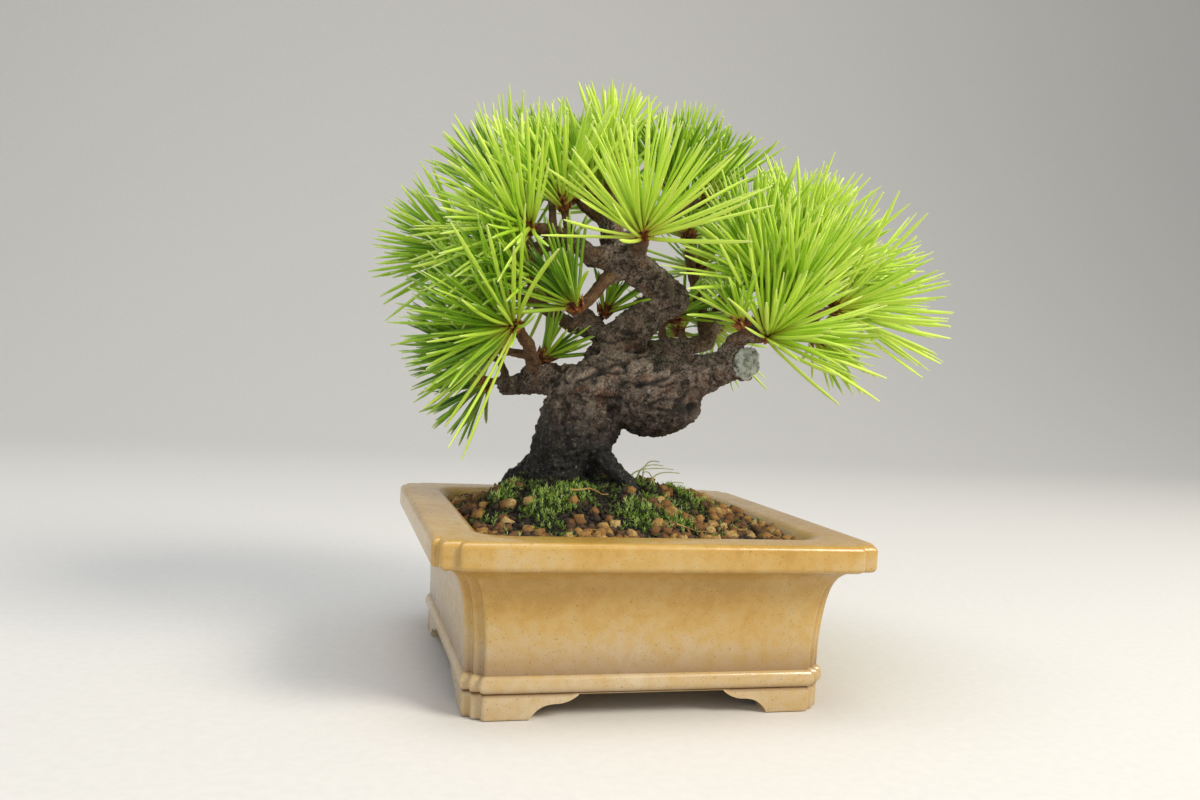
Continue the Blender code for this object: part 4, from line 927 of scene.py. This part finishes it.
# %% Tree that scatters pieces on the ground
scatter, given, scatter_keys = new_tree(
    "scatter on ground", Variants="Collection", Share="String", Spacing="Float", Smallest="Float",
    Largest="Float", Tumble="Float", Sink="Float", Seed="Int", Finish="Material")
t = scatter
share = add(t, "GeometryNodeInputNamedAttribute", {"Name": given["Share"]})
spots = add(t, "GeometryNodeDistributePointsOnFaces", {
    "Mesh": given["Geometry"], "Distance Min": given["Spacing"], "Density Max": 3e6,
    "Density Factor": share, "Seed": given["Seed"]}, distribute_method="POISSON")
most = add(t, "ShaderNodeCombineXYZ", {0: given["Tumble"], 1: given["Tumble"], 2: math.pi})
least = add(t, "ShaderNodeVectorMath", {0: most, "Scale": -1.0}, operation="SCALE")
turn = add(t, "FunctionNodeRandomValue", {0: least, 1: most, "Seed": given["Seed"]}, data_type="FLOAT_VECTOR")
turn = add(t, "FunctionNodeEulerToRotation", {0: turn})
sizes = add(t, "FunctionNodeRandomValue", {2: 0.0, 3: 1.0, "Seed": given["Seed"]})
sizes = add(t, "ShaderNodeMath", {0: sizes.outputs[1], 1: 1.7}, operation="POWER")
sizes = add(t, "ShaderNodeMapRange", {
    "Value": sizes, "To Min": given["Smallest"], "To Max": given["Largest"]})
sunk = add(t, "ShaderNodeMath", {0: sizes, 1: given["Sink"]}, operation="MULTIPLY")
sunk = add(t, "ShaderNodeCombineXYZ", {"Z": sunk})
spots = add(t, "GeometryNodeSetPosition", {"Geometry": spots.outputs["Points"], "Offset": sunk})
kinds = add(t, "GeometryNodeCollectionInfo", {0: given["Variants"], 1: True, 2: True})
placed = add(t, "GeometryNodeInstanceOnPoints", {
    "Points": spots, "Instance": kinds, "Pick Instance": True, "Rotation": turn, "Scale": sizes})
shade = add(t, "FunctionNodeRandomValue", {2: 0.0, 3: 1.0, "Seed": given["Seed"]})
placed = add(t, "GeometryNodeStoreNamedAttribute", {
    "Geometry": placed, "Name": "shade", "Value": shade.outputs[1]}, domain="INSTANCE")
placed = add(t, "GeometryNodeRealizeInstances", {0: placed})
placed = add(t, "GeometryNodeSetMaterial", {"Geometry": placed, "Material": given["Finish"]})
add(t, "NodeGroupOutput", {0: placed})
print("scatter tree has", len(t.nodes), "nodes")

# %% Shapes to scatter
rng = random.Random(19)


def samples(name, make, count):
    """Return a collection of several variants of a shape, each about one unit in size."""
    made = bpy.data.collections.new(name)
    for i in range(count):
        bm = bmesh.new()
        make(bm, i)
        made.objects.link(bpy.data.objects.new(f"{name}_{i}", mesh_from(bm, f"{name}_{i}")))
    return made


def pebble(bm, i):
    """Shape one lumpy grain of fired clay."""
    bmesh.ops.create_cube(bm, size=0.8)
    bmesh.ops.subdivide_edges(bm, edges=bm.edges, cuts=1, use_grid_fill=True)
    squash = Vector((rng.uniform(0.85, 1.15), rng.uniform(0.75, 1.0), rng.uniform(0.65, 0.9)))
    for vert in bm.verts:
        rounded = vert.co.lerp(vert.co.normalized() * 0.5, 0.45)
        bump = 1 + 0.75 * noise.noise(rounded * 2.4 + Vector((i * 9.1, 0, 0)))
        vert.co = Vector((rounded.x * squash.x, rounded.y * squash.y, rounded.z * squash.z)) * bump


def blade(bm, thickness, length, place):
    """Add one closed pointed leaf."""
    made = bmesh.ops.create_cone(
        bm, cap_ends=True, segments=3, radius1=thickness, radius2=0.1 * thickness, depth=length)
    bmesh.ops.transform(bm, matrix=place @ Matrix.Translation((0, 0, length / 2)), verts=made["verts"])


def moss_shoot(bm, i):
    """Shape one moss shoot: pointed leaves all round a short stem."""
    for k in range(6):
        lean = 0.2 + 0.17 * k + rng.uniform(-0.1, 0.1)
        place = Matrix.Translation((0, 0, 0.10 * (6 - k))) @ Matrix.Rotation(k * 2.4 + i, 4, "Z")
        blade(bm, 0.10, rng.uniform(0.6, 0.85), place @ Matrix.Rotation(lean, 4, "Y"))


def algae_fleck(bm, i):
    """Shape one crumb of dried algae: blunt scales that lie in all directions."""
    for k in range(4):
        place = Matrix.Rotation(k * 1.7 + i, 4, "Z") @ Matrix.Rotation(0.5 + 0.3 * k, 4, "Y")
        blade(bm, 0.26, rng.uniform(0.5, 0.8), place)


pebbles = samples("clay_pebble", pebble, 8)
shoots = samples("moss_shoot", moss_shoot, 5)
flecks = samples("algae_fleck", algae_fleck, 5)

# %% [markdown]
# ## What the grains and the moss are made of
#
# The grains are volcanic clay, fired hard: the colour runs from dark brown to red-brown, ochre and cream,
# all of it matt and dusty. Moss is thin leaves one cell thick, fresh green at the tips; the algae round the
# trunk have dried almost black.

# %% Finishes for the ground cover
clay, tree, shader = new_finish("fired clay grains, damp and matt", Roughness=0.82)
where = add(tree, "ShaderNodeTexCoord").outputs["Object"]
shade = add(tree, "ShaderNodeAttribute", attribute_name="shade").outputs["Fac"]
dust = add(tree, "ShaderNodeTexNoise", {
    "Vector": where, "Scale": 1 / (1.1 * MM), "Detail": 5.0, "Roughness": 0.7})
mix = add(tree, "ShaderNodeMath", {0: dust, 1: 0.30, 2: shade}, operation="MULTIPLY_ADD")
mix = add(tree, "ShaderNodeMath", {0: mix, 1: 0.21}, operation="SUBTRACT")
grains_colour = add(tree, "ShaderNodeValToRGB", {"Fac": mix}, stops=[
    (0.10, "#13100B"), (0.38, "#261D14"), (0.56, "#3E2D1C"), (0.68, "#563A20"), (0.80, "#754E27"),
    (0.90, "#9A7236"), (0.98, "#C8B27A")])
tree.links.new(grains_colour.outputs[0], shader.inputs["Base Color"])
gritty = add(tree, "ShaderNodeBump", {"Height": dust, "Strength": 0.9, "Distance": 0.4 * MM})
tree.links.new(gritty.outputs[0], shader.inputs["Normal"])

moss, tree, shader = new_finish("living cushion moss", Roughness=0.7)
shade = add(tree, "ShaderNodeAttribute", attribute_name="shade").outputs["Fac"]
leaf = add(tree, "ShaderNodeValToRGB", {"Fac": shade}, stops=[
    (0.05, "#33480F"), (0.40, "#5F8320"), (0.75, "#93B83E"), (0.98, "#C6DC80")])
tree.links.new(leaf.outputs[0], shader.inputs["Base Color"])

algae, tree, shader = new_finish("dried black algae", Roughness=0.6)
shade = add(tree, "ShaderNodeAttribute", attribute_name="shade").outputs["Fac"]
crust = add(tree, "ShaderNodeValToRGB", {"Fac": shade}, stops=[
    (0.10, "#0C0A07"), (0.55, "#1D1A10"), (0.80, "#2F3116"), (0.97, "#59662B")])
tree.links.new(crust.outputs[0], shader.inputs["Base Color"])
print("finishes:", clay.name + ",", moss.name, "and", algae.name)

# %% Scatter grains, algae and moss
grains = grown(
    "clay_grains", ground.data.copy(), scatter, scatter_keys, Variants=pebbles, Share="grain",
    Spacing=1.5 * MM, Smallest=1.2 * MM, Largest=4.2 * MM, Tumble=3.1, Sink=0.10, Seed=4, Finish=clay)
finished(grains, "clay_grains", "soil_mound")
algae_crust = grown(
    "black_algae", ground.data.copy(), scatter, scatter_keys, Variants=flecks, Share="dark",
    Spacing=1.0 * MM, Smallest=1.0 * MM, Largest=2.4 * MM, Tumble=0.7, Sink=0.02, Seed=5, Finish=algae)
finished(algae_crust, "moss", "soil_mound")
cushion_nodes = [node for node in nodes if node.startswith("moss_")]
moss_carpet = grown(
    "cushion_moss", ground.data.copy(), scatter, scatter_keys, Variants=shoots, Share="bright",
    Spacing=0.72 * MM, Smallest=1.0 * MM, Largest=2.0 * MM, Tumble=0.45, Sink=0.0, Seed=6, Finish=moss)
finished(moss_carpet, "moss", *cushion_nodes)

# %% [markdown]
# ## The sealed cut
#
# The cut end of the old branch stub is covered with wound putty: a grey-white cap, pressed on with a wet
# thumb, so it is slightly dished, has a soft uneven edge and has picked up dark grit.

# %% Press the putty cap
bm = welded("cut_seal")
seal = new_object("putty_seal", mesh_from(bm, "putty_seal"))
mesh = remeshed(seal, 0.22 * MM)
places = coordinates(mesh)
middle = places.mean(axis=0)
lumps = []
for place in places:
    p = Vector(place) / MM
    lumps.append(1.15 * noise.fractal(p / 3.0, 1.0, 2.0, 3) + 0.16 * noise.fractal(p / 0.8, 0.8, 2.0, 2))
spread = (places - middle) / np.linalg.norm(places - middle, axis=1)[:, None]
places += spread * (np.array(lumps) * MM)[:, None]
mesh.vertices.foreach_set("co", places.ravel())
mesh.update()
mesh.shade_smooth()
print("cap of", len(places), "corners")

# %% Grey wound putty
# A soft paste smeared on by thumb: dull pale grey with darker grit worked into it, and shallow dabs.
putty = mottled_finish("grey wound putty", 1.8, [
    (0.36, "#34332C"), (0.43, "#7F8278"), (0.52, "#A9ADA3"), (0.70, "#CDD1CA")],
    {"Detail": 5.0, "Roughness": 0.68}, bump=(0.6, 0.3), Roughness=0.62)[0]
mesh.materials.clear()
mesh.materials.append(putty)
finished(seal, "wound_putty", "cut_seal")

# %% [markdown]
# ## Small things on the ground
#
# Dry fallen needles lie on the mound, and a few pale seedlings lean towards the light. Both are thin bent
# tubes, so one tree turns any list of paths into them: it makes each path a curve and runs a ring along it.

# %% Tree that makes stems from paths
stem_tree, given, stem_keys = new_tree("stems on curves", Width="Float", Finish="Material")
t = stem_tree
lines = add(t, "GeometryNodeMeshToCurve", {0: given["Geometry"]})
along = add(t, "GeometryNodeSplineParameter").outputs["Factor"]
lines = add(t, "GeometryNodeStoreNamedAttribute", {"Geometry": lines, "Name": "along", "Value": along})
taper = add(t, "ShaderNodeMapRange", {"Value": along, "To Min": 1.0, "To Max": 0.45})
taper = add(t, "ShaderNodeMath", {0: taper, 1: given["Width"]}, operation="MULTIPLY")
ring = add(t, "GeometryNodeCurvePrimitiveCircle", {"Resolution": 6, "Radius": 0.5})
stems = add(t, "GeometryNodeCurveToMesh", {
    "Curve": lines, "Profile Curve": ring, "Scale": taper, "Fill Caps": True})
stems = add(t, "GeometryNodeSetShadeSmooth", {0: stems})
stems = add(t, "GeometryNodeRealizeInstances", {0: stems})
stems = add(t, "GeometryNodeSetMaterial", {"Geometry": stems, "Material": given["Finish"]})
add(t, "NodeGroupOutput", {0: stems})


def paths_mesh(name, paths):
    """Return a mesh of edges, one chain for each path."""
    bm = bmesh.new()
    for path in paths:
        chain = [bm.verts.new(point) for point in path]
        for a, b in zip(chain, chain[1:]):
            bm.edges.new((a, b))
    return mesh_from(bm, name)


print("stem tree has", len(t.nodes), "nodes")

# %% Seedlings
rng = random.Random(3)
seedlings = []
# across and along from the pot's middle, lean and height, all in mm
SPROUTS = ((6, -6, 8, 5), (8, -5, 5, 6), (10, -7, 9, 4), (12, -5, -4, 5), (14, -8, 6, 3), (3, -7, 14, 4))
for x, y, lean, tall in SPROUTS:
    foot = Vector((POT.x + x * MM, POT.y + y * MM, 0))
    foot.z = ground_level(foot.x, foot.y) - 0.5 * MM
    path = []
    for k in range(9):
        u = k / 8
        curl = Vector((lean * u ** 2, 2 * math.sin(3 * u), tall * math.sin(1.9 * u) + 0.5 * u))
        path.append(foot + curl * MM)
    seedlings.append(path)
# Sprouts grown in shade are soft and juicy: pale yellow-green, a little shiny, with light passing through.
sprouts = mottled_finish("pale seedling stems", 4, [(0.35, "#8FA04A"), (0.55, "#B9BE6C"), (0.7, "#D6D6A4")],
                         Roughness=0.5, Subsurface_Weight=0.05)[0]
seedling_stems = grown("seedlings", paths_mesh("seedlings", seedlings), stem_tree, stem_keys, Width=0.55 * MM,
                       Finish=sprouts)
finished(seedling_stems, "moss")

# %% Fallen needles
fallen = []
for _ in range(16):
    x, y = rng.uniform(-38, 38), rng.uniform(-38, 38)
    turn = rng.uniform(0, 2 * math.pi)
    step = Vector((math.cos(turn), math.sin(turn), 0)) * rng.uniform(1.4, 2.4) * MM
    path = []
    for k in range(7):
        point = Vector((POT.x + x * MM, POT.y + y * MM, 0)) + step * k
        limit = FIELD - 2 * MM
        point.x = min(POT.x + limit, max(POT.x - limit, point.x))
        point.y = min(POT.y + limit, max(POT.y - limit, point.y))
        point.z = ground_level(point.x, point.y) + 1.3 * MM
        path.append(point)
    fallen.append(path)
# A dead needle has lost its wax: dull, and anything from dark brown to straw along its length.
straw = mottled_finish("dry fallen pine needles", 6, [(0.35, "#6A4522"), (0.55, "#9A7138"), (0.7, "#B8975A")],
                       Roughness=0.65)[0]
litter = grown("fallen_needles", paths_mesh("fallen_needles", fallen), stem_tree, stem_keys, Width=0.8 * MM,
               Finish=straw)
finished(litter, "needles")

# %% [markdown]
# ## Parts under the soil
#
# The drainage gravel, the plastic screen over the drain hole and the wire clip that holds it keep their CAD
# shapes, because they are right as they are. Only their finishes change.

# %% Finishes for the drainage parts
# Crushed pumice is a dry, porous stone: quite matt, and each 4 mm piece has its own pale grey or cream.
gravel, tree, shader = new_finish("crushed pumice gravel", Roughness=0.9)
where = add(tree, "ShaderNodeTexCoord").outputs["Object"]
stones = add(tree, "ShaderNodeTexVoronoi", {"Vector": where, "Scale": 1 / (4 * MM)})
stone_colour = add(tree, "ShaderNodeSeparateColor", {0: stones.outputs["Color"]})
pumice = add(tree, "ShaderNodeValToRGB", {
    "Fac": stone_colour}, stops=[(0.1, "#8A8072"), (0.6, "#B5AB9A"), (1.0, "#D8D0C0")])
tree.links.new(pumice.outputs[0], shader.inputs["Base Color"])
lumpy = add(tree, "ShaderNodeBump", {
    "Height": stones.outputs["Distance"], "Strength": 1.0, "Distance": 1.0 * MM})
tree.links.new(lumpy.outputs[0], shader.inputs["Normal"])

# Moulded polyethylene is waxy: nearly black, half matt, greyer where it is scuffed.
plastic = mottled_finish("moulded polyethylene mesh", 2, [(0.35, "#161816"), (0.7, "#2C302C")],
                         {"Detail": 4.0}, Roughness=0.5)[0]

# Anodised wire is a coloured metal: brown, satin, and duller where drawing and bending have rubbed it.
wire, tree, shader, drawn = mottled_finish(
    "brown anodised aluminium wire", 0.8, [(0.35, "#5A3E2C"), (0.7, "#80604A")], {"Detail": 3.0},
    Metallic=1.0)
dull = add(tree, "ShaderNodeMapRange", {"Value": drawn, "To Min": 0.3, "To Max": 0.5})
tree.links.new(dull.outputs[0], shader.inputs["Roughness"])

for node, finish in (("drainage_layer", gravel), ("drainage_screen", plastic), ("screen_clip", wire)):
    nodes[node].material_slots[0].material = finish
    print(node, "is", finish.name)

# %% [markdown]
# ## Floor, light and camera
#
# The tree stands on a plain pale sweep, a floor that curves up into a backdrop, so no horizon cuts the
# picture. A large soft lamp from the upper right gives the bright side, a broad lamp above and a weak one
# at the left fill the shade. The camera looks slightly down from the front left.

# %% Studio sweep
bm = bmesh.new()
SWEEP_WIDTH, SWEEP_FRONT, SWEEP_BACK, SWEEP_HEIGHT, SWEEP_ROUND = 5.0, -2.0, 1.6, 2.6, 0.9
profile = [(SWEEP_FRONT, 0.0)]
for i in range(25):
    angle = math.pi / 2 * i / 24
    reach = SWEEP_BACK - SWEEP_ROUND * (1 - math.sin(angle))
    profile.append((reach, SWEEP_ROUND * (1 - math.cos(angle))))
profile.append((SWEEP_BACK, SWEEP_HEIGHT))
sides = [[bm.verts.new((x, y, z)) for y, z in profile] for x in (-SWEEP_WIDTH / 2, SWEEP_WIDTH / 2)]
for i in range(len(profile) - 1):
    bm.faces.new((sides[0][i], sides[1][i], sides[1][i + 1], sides[0][i + 1]))
bmesh.ops.recalc_face_normals(bm, faces=bm.faces)
sweep = new_object("studio_sweep", mesh_from(bm, "studio_sweep"))
# Backdrop paper is uncoated: dead matt, with fibres that show as the faintest cloudiness.
paper = mottled_finish("matt pale paper",
    3, [(0.3, "#D6D4CF"), (0.7, "#DAD8D3")], {"Detail": 2.0}, Roughness=0.95)[0]
sweep.data.materials.append(paper)
print("sweep", SWEEP_WIDTH, "m wide")

# %% Soft lamps and a pale sky


def lamp(name, place, target, width, power, colour):
    """Add a soft square lamp that faces a target."""
    light = bpy.data.lights.new(name, "AREA")
    light.size = width
    light.energy = power
    light.color = linear(colour)[:3]
    made = new_object(name, light)
    made.location = place
    made.rotation_euler = (Vector(target) - Vector(place)).to_track_quat("-Z", "Y").to_euler()


heart = (0.0, 0.0, 0.08)
lamp("key", (0.75, -0.75, 0.85), heart, 0.5, 15.5, "#FFF6E6")
lamp("top", (-0.15, -0.1, 1.3), heart, 0.9, 9.0, "#F6F8FF")
lamp("fill", (-1.0, -0.7, 0.35), heart, 0.8, 3.0, "#EEF3FF")
world = bpy.data.worlds.new("pale studio")
bpy.context.scene.world = world
world.use_nodes = True
backdrop = world.node_tree.nodes["Background"]
backdrop.inputs["Color"].default_value = linear("#E8ECF0")
backdrop.inputs["Strength"].default_value = 0.45
bpy.context.scene.view_settings.view_transform = "Standard"
print("three lamps and a pale world")

# %% Camera
YAW, PITCH, ROLL = math.radians(14.934), math.radians(1.763), math.radians(3.2555)
forward = Vector((math.sin(YAW) * math.cos(PITCH), math.cos(YAW) * math.cos(PITCH), -math.sin(PITCH)))
level = Vector((math.cos(YAW), -math.sin(YAW), 0.0))
above = level.cross(forward)
right = level * math.cos(ROLL) + above * math.sin(ROLL)
up = above * math.cos(ROLL) - level * math.sin(ROLL)
camera_place = POT + Vector((-87.1, -305.5, 90.5)) * MM
lens = bpy.data.cameras.new("camera")
lens.sensor_width = 36.0
lens.lens = 31.2
lens.clip_start = 0.01
camera = new_object("camera", lens)
turn = Matrix((right, up, -forward)).transposed().to_4x4()
camera.matrix_world = Matrix.Translation(camera_place) @ turn
bpy.context.scene.camera = camera
print("camera", [round(c / MM) for c in camera_place], "mm")
